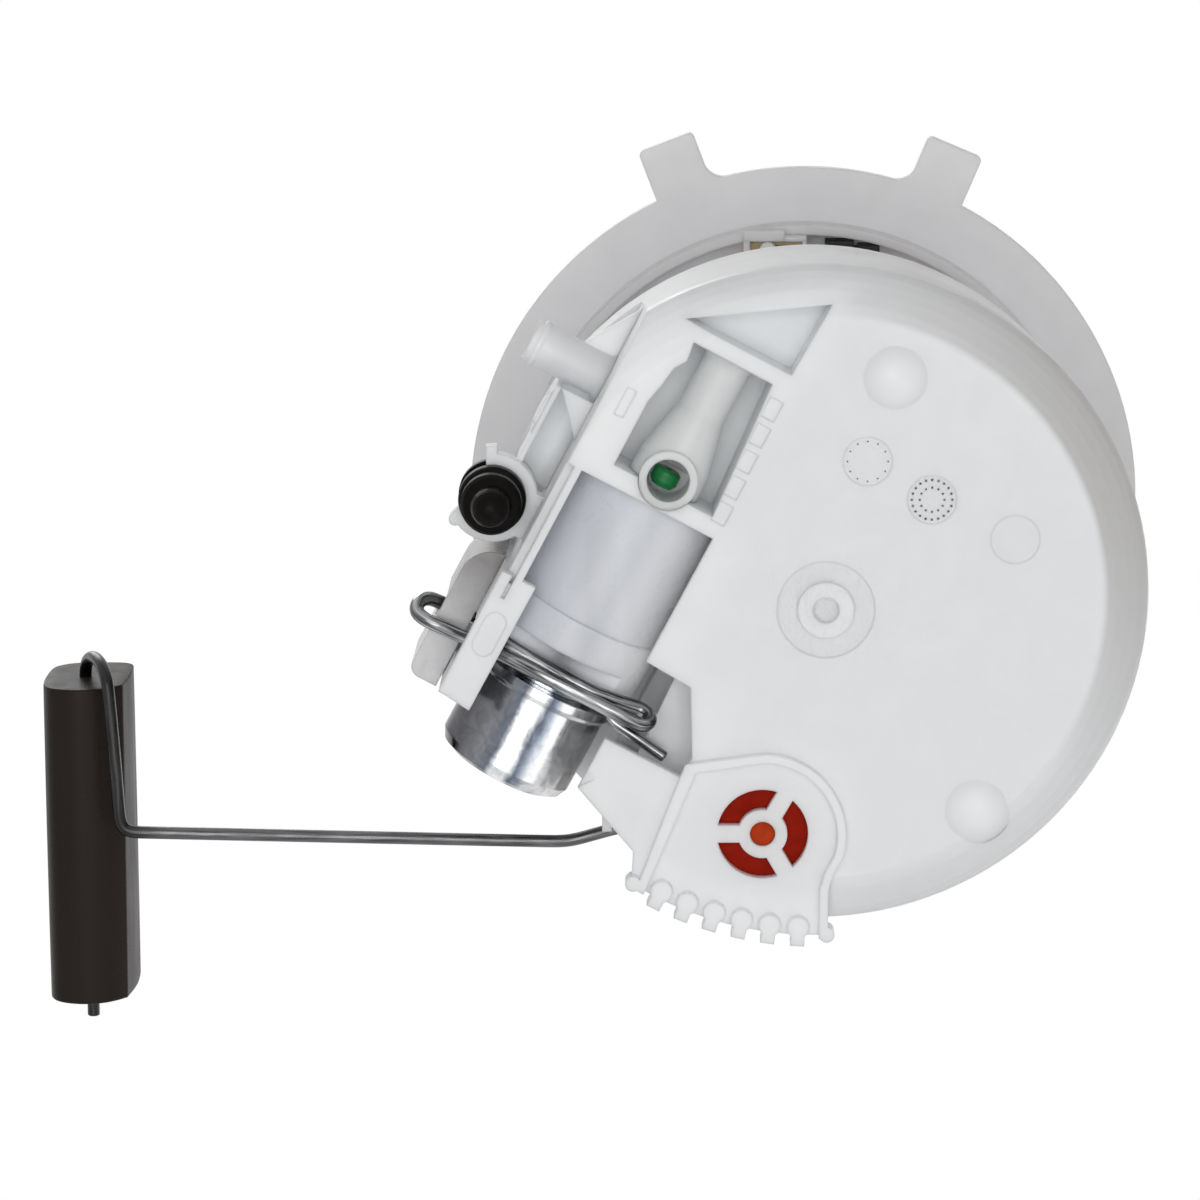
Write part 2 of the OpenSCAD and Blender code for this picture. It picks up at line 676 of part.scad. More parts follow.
// Lid of the filter, with the duct that brings the fuel over from the pump
module filter_cover() color([0.2, 0.2, 0.21]) at_base()
    translate([pump_x, 0, filter_top]) difference() {
        union() {
            cylinder(r = filter_r, h = 3);
            cylinder(r = 8, h = 6);
            translate([-26, -4, 0]) cube([26, 8, 6]);
            translate([2, -26, 0]) cube([14, 12, 6]);
        }
        translate([0, 0, -past]) cylinder(r = 3.6 + fit, h = 5);
        translate([5, -24, 3]) cube([8, 8, 4]);
    }

// Steel can of the pump
module pump_can() color("silver") at_base() translate([pump_x, 0, pump_bottom])
    rotate_extrude() polygon([[pump_r - 1.5, 0], [pump_r, 0], [pump_r, pump_top - pump_bottom],
        [pump_r - 1.5, pump_top - pump_bottom]]);

// Two arc magnets inside the can
module pump_magnets() color([0.3, 0.3, 0.32]) at_base()
    translate([pump_x, 0, pump_bottom + 8]) difference() {
        pipe(pump_r - 1.5, pump_r - 5.2, 26);
        translate([-far / 2, -4, -past]) cube([far, 8, far]);
    }

// Rotor with its shaft and impeller
module pump_rotor() color("peru") at_base() translate([pump_x, 0, pump_bottom]) rotate_extrude()
    polygon([[0, 1], [shaft_r, 1], [shaft_r, 3], [pump_r - 4, 3], [pump_r - 4, 5.5],
        [shaft_r, 5.5], [shaft_r, 9], [pump_r - 6, 10], [pump_r - 6, 32], [6, 33], [6, 38],
        [shaft_r, 38], [shaft_r, pump_top - pump_bottom - 2],
        [0, pump_top - pump_bottom - 2]]);

// Inlet cap with the lower bearing and the spout into the strainer
module pump_inlet_cap() color("dimgray") at_base() translate([pump_x, 0, 0]) difference() {
    union() {
        translate([0, 0, filter_bottom - 1.2]) cylinder(r = pump_r, h = 6.2);
        translate([0, 0, pump_bottom]) cylinder(r = pump_r - 1.5 - fit, h = 2.6);
        translate([9, 0, cup_floor + 4.4]) cylinder(r = 4, h = 4);
    }
    translate([0, 0, pump_bottom + 0.6]) cylinder(r = shaft_r + running, h = 4);
    translate([9, 0, 0]) cylinder(r = 2.6, h = far);
}

// Outlet cap with the upper bearing, brush holders and outlet spout
module pump_outlet_cap() color("dimgray") at_base() translate([pump_x, 0, pump_top]) difference() {
    union() {
        translate([0, 0, -7]) cylinder(r = pump_r - 1.5 - fit, h = 7);
        cylinder(r = pump_r, h = 3);
        cylinder(r = 6, h = 5);
        cylinder(r = 3.6, h = filter_top - pump_top + 3.5);
    }
    translate([0, 0, -8]) cylinder(r = shaft_r + running, h = 6.6);
    translate([11, 0, -8]) cylinder(r = 2, h = 12);
}

// Rubber ring that carries the canister on the floor
module pump_isolator() color([0.15, 0.15, 0.15]) at_base()
    translate([pump_x, 0, cup_floor]) difference() {
        pipe(31, 27.5, isolator_h);
        for (turn = [0 : 45 : 315]) rotate([0, 0, turn])
            translate([25, -3, past]) cube([10, 6, 3]);
    }

// Flat strainer under the pump
module inlet_strainer() color("lightgray") at_base()
    translate([pump_x, 0, cup_floor]) rotate_extrude() polygon([[0, 0], [24, 0], [25.5, 1.2],
        [25.5, 2.4], [23.5, 3.8], [0, 4.3]]);

// Pipe from the filter to the riser
module feed_pipe() color("whitesmoke") at_base() {
    start = [pump_x - filter_r, 0, ring_h + 12];
    end = [riser_x, riser_y, ring_h + 12];
    run = end - start;
    translate(start) rotate([0, 90, atan2(run[1], run[0])]) translate([0, 0, 0.4])
        pipe(3.6, 2.2, norm(run) - riser_r - 0.4);
}

// Riser from the regulator's housing to the hose
module outlet_riser() color("whitesmoke") at_base() in_carrier()
    translate([-reg_u, riser_v, ring_h]) rotate_extrude() difference() {
        h = riser_top - ring_h;
        polygon([[0, 0], [riser_r, 0], [riser_r, h - 12], [4, h - 11], [4, h - 1], [3.4, h],
            [0, h]]);
        translate([0, -past]) square([2.6, h + 2 * past]);
    }

// Sender's housing on the reservoir's flat
module sender_housing() color("white") at_base() translate([pivot_x, sender_y, 0]) {
    difference() {
        translate([-14, 0, shelf_w]) cube([28, 3, cup_h - shelf_w]);
        translate([-11.5, 1.4, 20]) cube([23, 2, 17]);
    }
    translate([-14, 0, shelf_w]) cube([2, 6, cup_h - shelf_w]);
    translate([12, 0, shelf_w]) cube([2, 6, cup_h - shelf_w]);
    translate([0, 0, pivot_w]) along_y() cylinder(r = 3, h = 10);
}

// Ceramic card with the resistor tracks
module resistor_card() color("tan") at_base()
    translate([pivot_x - 11.4, sender_y + 1.4, 20.1]) cube([22.8, 0.8, 16.8]);

// Hub that turns on the pivot and carries the arm
module sender_hub() color([0.92, 0.92, 0.9]) at_base() on_arm()
    translate([0, sender_y + 4, 0]) along_y() difference() {
        union() {
            cylinder(r = 7.5, h = 4);
            translate([-10, -4, 2.5]) cube([20, 8, 7.4]);
        }
        translate([0, 0, -past]) cylinder(r = 3 + running, h = 7.2);
        translate([-11, 0, 8.4]) rotate([0, 90, 0])
            cylinder(r = arm_d / 2 + 0.02, h = 22, $fn = 48);
        translate([-11, -0.4 - arm_d / 2, 8.4]) cube([22, arm_d + 0.8, 4]);
    }

// Sprung wiper on the hub, over the tracks
module sender_wiper() color("goldenrod") at_base()
    translate([pivot_x, sender_y + 3.4, pivot_w]) {
        along_y() pipe(7, 3 + 2 * running, 0.5);
        translate([-4.5, 0, -19]) cube([1.4, 0.5, 14]);
        translate([3.1, 0, -19]) cube([1.4, 0.5, 14]);
    }

// Geometry of the arm in its own plane, s out along the arm from the pivot
arm_rest = -3.2;
float_rise = float_t / 2 + 1.5 + arm_d / 2;
float_s = arm_len + 8;
arm_y = 61.7;
arm_end_y = 58.3;
float_y = [27.7, 27.7 + float_len];
arm_hub_y = sender_y + 12.4;
leg_r = arm_d / 2 + 0.02;
leg_past = 6.3;
// How far the wire leans out on its way to the hook
arm_lean = 2;

// Places a form made about the pivot's axis, with -x out along the arm, at its rest angle
module on_arm() {
    translate([pivot_x, 0, pivot_w]) rotate([0, arm_rest, 0]) children();
}

// Route of the wire: hub, outward bend, corner, up the float's front and round into it
arm_route = [for (p = concat(
    [[-10, arm_hub_y, 0], [0, arm_hub_y, 0], [11, arm_hub_y, 0], [12, arm_hub_y, 0],
        [20, arm_y - 0.4, 0], [26, arm_y, 0], [arm_len - 4, arm_end_y, 0]],
    [for (t = [15 : 15 : 75]) [arm_len - 4 + 4 * sin(t), arm_end_y - 4 + 4 * cos(t), 0]],
    [[arm_len, arm_end_y - 4, 0], [arm_len + 0.9, 42, 0], [arm_len + arm_lean, 26.5, 0]],
    [for (t = [10 : 20 : 170]) [arm_len + arm_lean + (float_s - arm_len - arm_lean)
        * (1 - cos(t)) / 2, 26.5 - 5 * sin(t), float_rise * (1 - cos(t)) / 2]],
    [[float_s, 26.8, float_rise]])) [-p[0], p[1], p[2]]];

// Steel wire of the arm, bent round to the float's hole
module float_arm() color("darkgray") at_base() on_arm() {
    swept(arm_route, arm_d / 2, 12, [float_rise, 0, float_s - arm_len]);
    translate([-float_s, 26.4, float_rise]) along_y()
        cylinder(r = leg_r, h = float_y[1] + leg_past - 26.4);
}

// Foam float with rounded sides, on the arm's leg
module float() color([0.2, 0.18, 0.17]) at_base() on_arm()
    translate([-float_s, float_y[0], float_rise]) along_y() difference() {
        x = float_w / 2;
        y = float_t / 2;
        linear_extrude(float_len) polygon(smooth([[0, y], [3.4 - x, y - 0.3], [0.9 - x, y - 2.4],
            [-x, y - 5.5], [0.3 - x, 0], [1.4 - x, 7 - y], [3.6 - x, 2.8 - y], [-1.5, 0.2 - y],
            [x - 4.5, -y], [x - 1.4, 1 - y], [x - 0.3, 3.2 - y], [x, 0], [x, y - 6.5],
            [x - 0.9, y - 2.6], [x - 3.2, y - 0.4], [0, y]], 3));
        translate([0, 0, -past]) cylinder(r = leg_r + running, h = float_len + 2 * past);
    }

// Guide rod, from the flange's boss down through the cover
module guide_rod(y) color("silver") at_base() translate([rod_x, y, rod_tip]) {
    difference() {
        cylinder(r = rod_d / 2, h = module_depth - rod_tip - 1);
        translate([0, 0, 2.6]) pipe(rod_d, rod_d / 2 - 0.6, 1.3);
    }
}
module guide_rod_front() guide_rod(rod_ys[0]);
module guide_rod_back() guide_rod(rod_ys[1]);

// Spring between the cover and the flange's boss
module spring(y) color("lightgray") at_base() {
    wire_r = 0.65;
    coil_r = rod_d / 2 + 2.2;
    low = cover_top + past + wire_r;
    high = module_depth - lug_h - wire_r;
    steps = 14 * spring_turns;
    path = [for (i = [0 : steps]) [rod_x + coil_r * cos(360 * i / 14),
        y + coil_r * sin(360 * i / 14), low + (high - low) * i / steps]];
    swept(path, wire_r, 6, [0, 0, 1]);
}
module spring_front() spring(rod_ys[0]);
module spring_back() spring(rod_ys[1]);

// Spring clip in the rod's groove, under the guide tube
module rod_clip(y) color("dimgray") at_base() translate([rod_x, y, rod_tip + 2.75]) difference() {
    cylinder(r = rod_d / 2 + 2, h = 1);
    translate([0, 0, -past]) cylinder(r = rod_d / 2 - 0.55, h = 3);
    translate([0, -rod_d / 2 + 1, -past]) cube([rod_d, rod_d - 2, 3]);
}
module rod_clip_front() rod_clip(rod_ys[0]);
module rod_clip_back() rod_clip(rod_ys[1]);

// Keying tab along x, with rounded tips and a fillet at the root of its +y side
module keying_tab() {
    tip_r = 1.2;
    centre = [sqrt(pow(flange_r + tab_fillet, 2) - pow(tab_w / 2 + tab_fillet, 2)),
        tab_w / 2 + tab_fillet];
    linear_extrude(3) {
        hull() {
            translate([0, -tab_w / 2]) square([flange_r, tab_w]);
            for (side = [-1, 1])
                translate([tab_reach - tip_r, side * (tab_w / 2 - tip_r)])
                    circle(r = tip_r, $fn = 32);
        }
        difference() {
            polygon([[flange_r - 6, tab_w / 2 - past], [centre[0], tab_w / 2 - past], centre,
                unit(centre) * (flange_r - past)]);
            translate(centre) circle(r = tab_fillet, $fn = 48);
        }
    }
}

// Flange plate with spigot, keying tabs, rod bosses and stiffening ribs
module flange() color("whitesmoke") difference() {
    union() {
        cylinder(r = flange_r, h = flange_t, $fn = 144);
        translate([0, 0, -spigot_h]) pipe(spigot_r, spigot_r - spigot_wall, spigot_h + past);
        rotate([0, 0, -111]) keying_tab();
        rotate([0, 0, -67]) mirror([0, 1, 0]) keying_tab();
        for (y = rod_ys) translate([rod_x, y, -lug_h]) cylinder(r = rod_d / 2 + 3.5, h = lug_h);
        // Ribs on the top face
        translate([0, 0, flange_t]) {
            pipe(flange_r - 6, flange_r - 8, 2);
            for (turn = [0 : 30 : 330]) rotate([0, 0, turn])
                translate([rib_start, -0.8, 0]) cube([flange_r - 7 - rib_start, 1.6, 2]);
        }
    }
    for (y = rod_ys) translate([rod_x, y, -lug_h - past])
        cylinder(r = rod_d / 2 + 0.02, h = lug_h + past - 1);
    translate([-20, 15, -past]) cylinder(r = outlet_r + fit, h = far);
    translate([-12, -46, -past]) cube([16, 4, far]);
}

// Outlet fitting: hose barb below the flange, pipe end above it
module outlet_fitting() color("whitesmoke") translate([-20, 15, 0]) difference() {
    bore_r = 2.6;
    reach = 12 + outlet_len;
    union() {
        rotate_extrude() polygon(concat([[0, -14], [outlet_r - 0.4, -14]],
            [for (z = [-13, -10, -7]) each [[outlet_r, z], [outlet_r + 0.4, z + 1.6],
                [outlet_r, z + 1.6]]],
            [[outlet_r, flange_t], [7, flange_t], [7, flange_t + 4], [6, flange_t + 5],
                [6, 17.6], [5, 18.6], [0, 18.6]]));
        translate([0, 0, 12]) rotate([0, -90, 20]) rotate_extrude() polygon([[0, 0], [5, 0],
            [5, 12], [outlet_r, 12.6], [outlet_r, reach - 9], [outlet_r + 0.9, reach - 8],
            [outlet_r + 0.9, reach - 7.4], [outlet_r, reach - 6.4], [outlet_r, reach - 0.6],
            [outlet_r - 0.6, reach], [0, reach]]);
    }
    translate([0, 0, -15]) cylinder(r = bore_r - 0.3, h = 28);
    translate([0, 0, 12]) rotate([0, -90, 20]) cylinder(r = bore_r, h = far);
}

// Places of the terminals across the socket
terminal_x = -7.2;
terminal_step = 4.2;

// Electrical socket on the flange
module connector_socket() color([0.16, 0.16, 0.17]) translate([-4, -44, flange_t]) difference() {
    union() {
        translate([-13, -8, 0]) cube([26, 16, 17]);
        translate([-3, 8, 8]) cube([6, 2.5, 7]);
    }
    translate([-11.2, -6.2, 3]) cube([22.4, 12.4, 17]);
    for (i = [0 : 3]) translate([terminal_x + terminal_step * i - 0.05, -0.45, -past])
        cube([1.9, 0.9, 6]);
}

// Four blade terminals through the flange
module connector_terminals() color("goldenrod") for (i = [0 : 3])
    translate([-4 + terminal_x + terminal_step * i, -44.4, -5]) cube([1.8, 0.8, 19]);

// Tan inner connector against the spigot's wall
module inner_connector() color([0.78, 0.68, 0.5]) intersection() {
    difference() {
        translate([-12.5, -60.8, -10]) cube([12.6, 9.2, 10]);
        translate([-10, -59.4, -10 - past]) cube([6, 4.6, 7]);
    }
    translate([0, 0, -far]) cylinder(r = spigot_r - spigot_wall - fit, h = 2 * far);
}

// Small white plug in the tan connector
module white_plug() color("white") translate([-7, -57.1, -8]) {
    cylinder(r = 2, h = 4);
    translate([0, 0, -3.2]) cylinder(r = 1.4, h = 3.2);
}

// Black plug beside the inner connector
module black_plug() color([0.12, 0.12, 0.12]) {
    translate([4.7, -59.8, -8]) cube([6.4, 5.4, 8]);
    translate([12, -58.8, -8]) cube([4.8, 4.2, 8]);
    translate([10.5, -58.4, -6]) cube([3, 2.4, 5]);
}

// Route of the hose, from the riser's top to the flange's barb, above the bottom face
hose_route = [[riser_x, riser_y, riser_top - 8], [riser_x, riser_y, riser_top + 2],
    [riser_x + 1, riser_y + 1, riser_top + 10], [-40, 4, module_depth - 32],
    [-30, 10, module_depth - 25], [-22, 14, module_depth - 19], [-20, 15, module_depth - 14],
    [-20, 15, module_depth - 8]];

// Corrugated hose between the riser and the flange
module corrugated_hose() color([0.15, 0.15, 0.15]) at_base() {
    path = smooth(hose_route, 8);
    difference() {
        swept(path, [for (i = [0 : len(path) - 1]) i % 2 == 0 ? hose_r : hose_r - 0.9], 10,
            [0.4, -1, 0.1]);
        translate([riser_x, riser_y, riser_top - 18]) cylinder(r = 4.2, h = 18.3);
        translate([-20, 15, module_depth - 14.3]) cylinder(r = outlet_r + 0.6, h = 20);
    }
}

// Wires from the black plug to the pump
module pump_wires() color("firebrick") at_base() for (i = [0, 1])
    swept(smooth([[13.1 + 2.6 * i, -56.7, module_depth - 8.2],
        [15.5 + 2.6 * i, -55, module_depth - 14], [21.5 + 2.6 * i, -47.5, module_depth - 21],
        [27 + 2.6 * i, -36, module_depth - 30], [31 + 2.6 * i, -24, filter_top + 11],
        [31.6 + 2.6 * i, -20, filter_top + 3.2]], 3), 0.9, 8, [1, 0.3, 0.1]);

// Wires from the inner connector to the sender
module sender_wires() color("steelblue") at_base() for (i = [0, 1])
    swept(smooth([[-11 + 2.6 * i, -53.4, module_depth - 10.2],
        [-12.5 + 2.6 * i, -51, module_depth - 16], [-24 + 2.6 * i, -36, module_depth - 28],
        [-35 + 2.6 * i, -12, cover_top + 19.5], [-36 + 2.6 * i, 20, cover_top + 9.5],
        [-30 + 2.6 * i, 40, cover_top + 5.5], [-24 + 2.6 * i, 50.4, cover_top + 1.5],
        [-24 + 2.6 * i, 50.6, cup_h - 1]], 3), 0.9, 8, [1, 0.1, 0.3]);

reservoir_cup();
umbrella_valve();
venturi_tube();
jet_nozzle();
transfer_nipple();
rubber_bumper();
bumper_holder();
regulator_housing();
regulator_can();
regulator_seals();
regulator_clip();
side_chamber();
reservoir_cover();
filter_canister();
filter_element();
filter_cover();
pump_can();
pump_magnets();
pump_rotor();
pump_inlet_cap();
pump_outlet_cap();
pump_isolator();
inlet_strainer();
feed_pipe();
outlet_riser();
sender_housing();
resistor_card();
sender_hub();
sender_wiper();
float_arm();
float();
guide_rod_front();
guide_rod_back();
spring_front();
spring_back();
rod_clip_front();
rod_clip_back();
flange();
outlet_fitting();
connector_socket();
connector_terminals();
inner_connector();
white_plug();
black_plug();
corrugated_hose();
pump_wires();
sender_wires();
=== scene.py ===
"""Looks of the fuel pump module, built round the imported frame."""

import json
import math

import bmesh
import bpy
from mathutils import Matrix, Vector

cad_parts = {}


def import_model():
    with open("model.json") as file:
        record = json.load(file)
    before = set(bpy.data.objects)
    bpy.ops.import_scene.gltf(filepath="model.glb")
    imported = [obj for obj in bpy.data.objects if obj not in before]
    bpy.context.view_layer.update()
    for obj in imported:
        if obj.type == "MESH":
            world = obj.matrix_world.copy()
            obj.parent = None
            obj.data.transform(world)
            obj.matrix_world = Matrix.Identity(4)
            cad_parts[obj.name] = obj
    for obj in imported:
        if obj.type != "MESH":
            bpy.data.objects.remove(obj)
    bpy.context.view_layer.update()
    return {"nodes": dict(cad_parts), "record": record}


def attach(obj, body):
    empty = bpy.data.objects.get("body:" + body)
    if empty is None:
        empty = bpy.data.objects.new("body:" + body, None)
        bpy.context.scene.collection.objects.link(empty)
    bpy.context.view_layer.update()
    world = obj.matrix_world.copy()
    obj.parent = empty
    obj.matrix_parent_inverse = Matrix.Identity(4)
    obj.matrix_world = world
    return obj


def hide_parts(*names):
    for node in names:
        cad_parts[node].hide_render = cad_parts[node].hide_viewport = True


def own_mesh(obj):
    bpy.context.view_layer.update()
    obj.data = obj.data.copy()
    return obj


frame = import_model()
NODES = frame["nodes"]

# Sizes from part.scad, in millimetres
MODULE_DEPTH = 118.0
CUP_FLAT_R = 58.3
VALVE = (-10.7, 49)
GATE = (2.1, 1.9)
CARRIER_TURN = math.radians(28)
# The floor lies just under the feet, in metres
FLOOR = -0.1206
MM = 0.001


def row(x, y, w):
    """A point given in millimetres, with its height above the reservoir's bottom face."""
    return Vector((x, y, w - MODULE_DEPTH)) * MM


def in_plan(u, v):
    """x and y in millimetres of a point in the carrier's own axes."""
    c, s = math.cos(CARRIER_TURN), math.sin(CARRIER_TURN)
    return u * c - v * s, u * s + v * c


def carrier(u, v, w):
    """The same as row for a point in the carrier's own axes."""
    return row(*in_plan(u, v), w)


def around(sides):
    """Cosine and sine of angles spread evenly round a circle."""
    return [(math.cos(2 * math.pi * k / sides), math.sin(2 * math.pi * k / sides)) for k in range(sides)]


# ---------------------------------------------------------------- materials


class NodeTree:
    """A node tree that grows step by step."""

    def __init__(self, owner):
        owner.use_nodes = True
        self.tree = owner.node_tree

    def node(self, kind, **settings):
        made = self.tree.nodes.new(kind)
        for key, value in settings.items():
            setattr(made, key, value)
        return made

    def link(self, out, into):
        self.tree.links.new(out, into)

    def maths(self, operation, a, b, clamp=False):
        """A sum, product or such of two values."""
        made = self.node("ShaderNodeMath", operation=operation, use_clamp=clamp)
        self.link(a, made.inputs[0])
        self.link(b, made.inputs[1])
        return made.outputs[0]

    def end_with(self, fac, first, second, output):
        """Mixes two shaders and gives the result to the output node."""
        mix = self.node("ShaderNodeMixShader")
        for source, into in ((fac, mix.inputs["Fac"]), (first, mix.inputs[1]), (second, mix.inputs[2]),
                             (mix.outputs[0], self.tree.nodes[output].inputs["Surface"])):
            self.link(source, into)


class Finish(NodeTree):
    """A Principled material whose nodes are added step by step."""

    def __init__(self, name, colour, rough, metal=0.0, **sockets):
        self.mat = bpy.data.materials.new(name)
        super().__init__(self.mat)
        self.bsdf = self.tree.nodes["Principled BSDF"]
        self.colour = colour
        self.rough = rough
        self.put("Base Color", (*colour, 1))
        self.put("Roughness", rough)
        self.put("Metallic", metal)
        for key, value in sockets.items():
            self.put(key.replace("_", " "), value)
        self.coords = self.node("ShaderNodeTexCoord").outputs["Object"]
        self.normal = None

    def put(self, socket, value):
        self.bsdf.inputs[socket].default_value = value

    def stretched(self, scale, turn=0.0):
        """The object's coordinates, turned about the upright line and then scaled."""
        mapping = self.node("ShaderNodeMapping")
        mapping.inputs["Rotation"].default_value = (0, 0, turn)
        mapping.inputs["Scale"].default_value = scale
        self.link(self.coords, mapping.inputs["Vector"])
        return mapping.outputs["Vector"]

    def in_carrier(self, scale=(1, 1, 1)):
        """Coordinates along the carrier's axes."""
        return self.stretched(scale, -CARRIER_TURN)

    def noise(self, scale, detail, stretch=None, distortion=0.0, vector=None):
        """Noise on the given vector, or else on the object's coordinates, stretched or not."""
        made = self.node("ShaderNodeTexNoise")
        made.inputs["Scale"].default_value = scale
        made.inputs["Detail"].default_value = detail
        made.inputs["Distortion"].default_value = distortion
        self.link(vector or (self.stretched(stretch) if stretch else self.coords), made.inputs["Vector"])
        return made.outputs["Fac"]

    def axis(self, vector, name, low, high):
        """One coordinate in metres as 0 at low and 1 at high."""
        split = self.node("ShaderNodeSeparateXYZ")
        self.link(vector, split.inputs[0])
        return self.mapped(split.outputs[name], 0, 1, low, high)

    def ramp(self, fac, stops):
        """Colours along a value; each stop is a place and a colour."""
        made = self.node("ShaderNodeValToRGB")
        self.link(fac, made.inputs["Fac"])
        line = made.color_ramp.elements
        while len(line) < len(stops):
            line.new(0.5)
        for element, (place, colour) in zip(line, stops):
            element.position = place
            element.color = (*colour, 1)
        return made.outputs["Color"]

    def vector_math(self, operation, vector, other=None):
        """A vector node on one vector; other is a fixed second one."""
        made = self.node("ShaderNodeVectorMath", operation=operation)
        self.link(vector, made.inputs[0])
        if other is not None:
            made.inputs[1].default_value = other
        return made.outputs["Value" if operation in ("LENGTH", "DOT_PRODUCT") else "Vector"]

    def multiplied(self, a, b):
        """One colour times another."""
        made = self.node("ShaderNodeMix", data_type="RGBA", blend_type="MULTIPLY")
        made.inputs["Factor"].default_value = 1.0
        for source, into in zip((a, b), [sock for sock in made.inputs if sock.type == "RGBA"]):
            self.link(source, into)
        return next(sock for sock in made.outputs if sock.type == "RGBA")

    def times(self, colour, fac, share):
        """A colour darkened and lightened by a share of itself."""
        return self.multiplied(colour, self.mapped(fac, 1 - share, 1 + share))

    def mapped(self, fac, low, high, start=0.3, end=0.7):
        """A value taken from start..end to low..high, and held at both ends."""
        made = self.node("ShaderNodeMapRange")
        self.link(fac, made.inputs["Value"])
        for key, value in (("From Min", start), ("From Max", end), ("To Min", low), ("To Max", high)):
            made.inputs[key].default_value = value
        return made.outputs["Result"]

    def mixed(self, fac, a, b):
        """Colour a to colour b, each a socket or three numbers."""
        made = self.node("ShaderNodeMix", data_type="RGBA")
        self.link(fac, made.inputs["Factor"])
        for socket, value in (("A", a), ("B", b)):
            place = next(s for s in made.inputs if s.name == socket and s.type == "RGBA")
            if isinstance(value, bpy.types.NodeSocket):
                self.link(value, place)
            else:
                place.default_value = (*value, 1)
        return next(s for s in made.outputs if s.type == "RGBA")

    def tint(self, fac, share):
        """Colour varies by a share of itself."""
        dark = tuple(c * (1 - share) for c in self.colour)
        light = tuple(min(1.0, c * (1 + share)) for c in self.colour)
        self.colour_from(self.mixed(self.mapped(fac, 0, 1), dark, light))

    def colour_from(self, source):
        """Takes the surface's colour from a socket."""
        self.link(source, self.bsdf.inputs["Base Color"])

    def colour_so_far(self):
        return self.bsdf.inputs["Base Color"].links[0].from_socket

    def uneven(self, fac, share):
        """Roughness varies by a share of itself."""
        self.link(self.mapped(fac, self.rough * (1 - share), self.rough * (1 + share)),
                  self.bsdf.inputs["Roughness"])

    def bump(self, fac, distance, strength):
        """Relief on top of what shapes the surface so far; distance is in metres."""
        made = self.node("ShaderNodeBump")
        made.inputs["Strength"].default_value = strength
        made.inputs["Distance"].default_value = distance
        self.link(fac, made.inputs["Height"])
        if self.normal:
            self.link(self.normal, made.inputs["Normal"])
        self.shade_by(made)

    def soft_edges(self, radius):
        """Edges that look rounded, with a radius in metres."""
        made = self.node("ShaderNodeBevel", samples=6)
        made.inputs["Radius"].default_value = radius
        self.shade_by(made)

    def shade_by(self, made):
        self.normal = made.outputs["Normal"]
        self.link(self.normal, self.bsdf.inputs["Normal"])


# How deep light scatters in the plastics, in metres, and the share of that for each of its colours
SCATTER_DEPTH = 0.005
SCATTER_TINT = (1.0, 0.97, 0.94)
# Depth of their fine grain, in metres
GRAIN = 0.00002


def moulded(name, colour, milky, rough=0.42, edge=0.0006, flow=0.00012):
    """Satin moulded plastic with faint flow marks and a fine grain.

    milky is the share of light that scatters inside it; edge and flow are in metres.
    """
    made = Finish(name, colour, rough, Subsurface_Weight=milky, Subsurface_Scale=SCATTER_DEPTH,
                  Subsurface_Radius=SCATTER_TINT, Specular_IOR_Level=0.4)
    made.soft_edges(edge)
    made.tint(made.noise(55, 5, distortion=1.2), 0.02)
    made.uneven(made.noise(160, 4), 0.22)
    if flow:
        made.bump(made.noise(38, 3, distortion=0.8), flow, 0.35)
    made.bump(made.noise(2600, 3), GRAIN, 0.6)
    return made


# Where painted light makes the housing paler towards the bay's wall, against the shade there, in metres across
# the carrier, and that paler tone
PAINTED_LIGHT_SPAN = (-0.036, -0.024)
PAINTED_LIGHT_TONE = (0.93, 0.935, 0.95)


def housing_plastic():
    """Glossier plastic of the regulator's housing, with faint draw marks along it, partly painted highlights,
    and painted light towards the bay's wall.
    """
    made = moulded("housing_white", (0.66, 0.68, 0.72), rough=0.3, milky=0.8, flow=0)
    # Draw marks along the housing; their lighter streaks in the colour are partly painted highlights
    marks = made.noise(150, 4, vector=made.in_carrier((1, 0.05, 1)))
    made.tint(marks, 0.05)
    # Painted light: paler towards the bay's wall, where the recess shades the housing
    painted_light_share = made.axis(made.in_carrier(), "X", *PAINTED_LIGHT_SPAN)
    made.colour_from(made.mixed(painted_light_share, made.colour_so_far(), PAINTED_LIGHT_TONE))
    made.bump(marks, 0.00004, 0.4)
    return made.mat


# The side chamber's stretch along the carrier over which its painted shade changes, and the greys of that shade
CHAMBER_SHADE_SPAN = (0.025, 0.045)
CHAMBER_SHADE_GREYS = [(0, (0.25, 0.235, 0.23)), (0.3, (0.36, 0.35, 0.355)), (1, (0.64, 0.64, 0.65))]


def chamber_plastic():
    """Thin cloudy wall of the side chamber, with painted shade that darkens it towards its closed end."""
    made = moulded("chamber_plastic", (0.50, 0.50, 0.51), rough=0.3, milky=0.5, flow=0.00006)
    # Painted shade: darker towards the chamber's closed end
    painted_shading = made.ramp(made.axis(made.in_carrier(), "Y", *CHAMBER_SHADE_SPAN), CHAMBER_SHADE_GREYS)
    made.colour_from(made.times(painted_shading, made.noise(110, 4, distortion=1.0), 0.12))
    return made.mat


def ring_of(made, x, y, inner, outer):
    """1 near a point on the bottom face, falling to 0 at the outer radius."""
    offset = made.vector_math("SUBTRACT", made.coords, row(x, y, 0))
    return made.mapped(made.vector_math("LENGTH", offset), 1, 0, inner * MM, outer * MM)


# The rounded edge gets painted shade, greyer most of all towards BAND_TURN. Each pair is where that shade
# starts
# and where it is full: radii, cosines of the angle from that direction, and heights
BAND_PAINTED_SHADE = (0.59, 0.585, 0.58)
BAND_TURN = math.radians(-26)
BAND_RADII = ((CUP_FLAT_R + 0.3) * MM, (CUP_FLAT_R + 1.5) * MM)
BAND_COSINES = (0.42, 1)
BAND_HEIGHTS = (-0.085, -0.104)


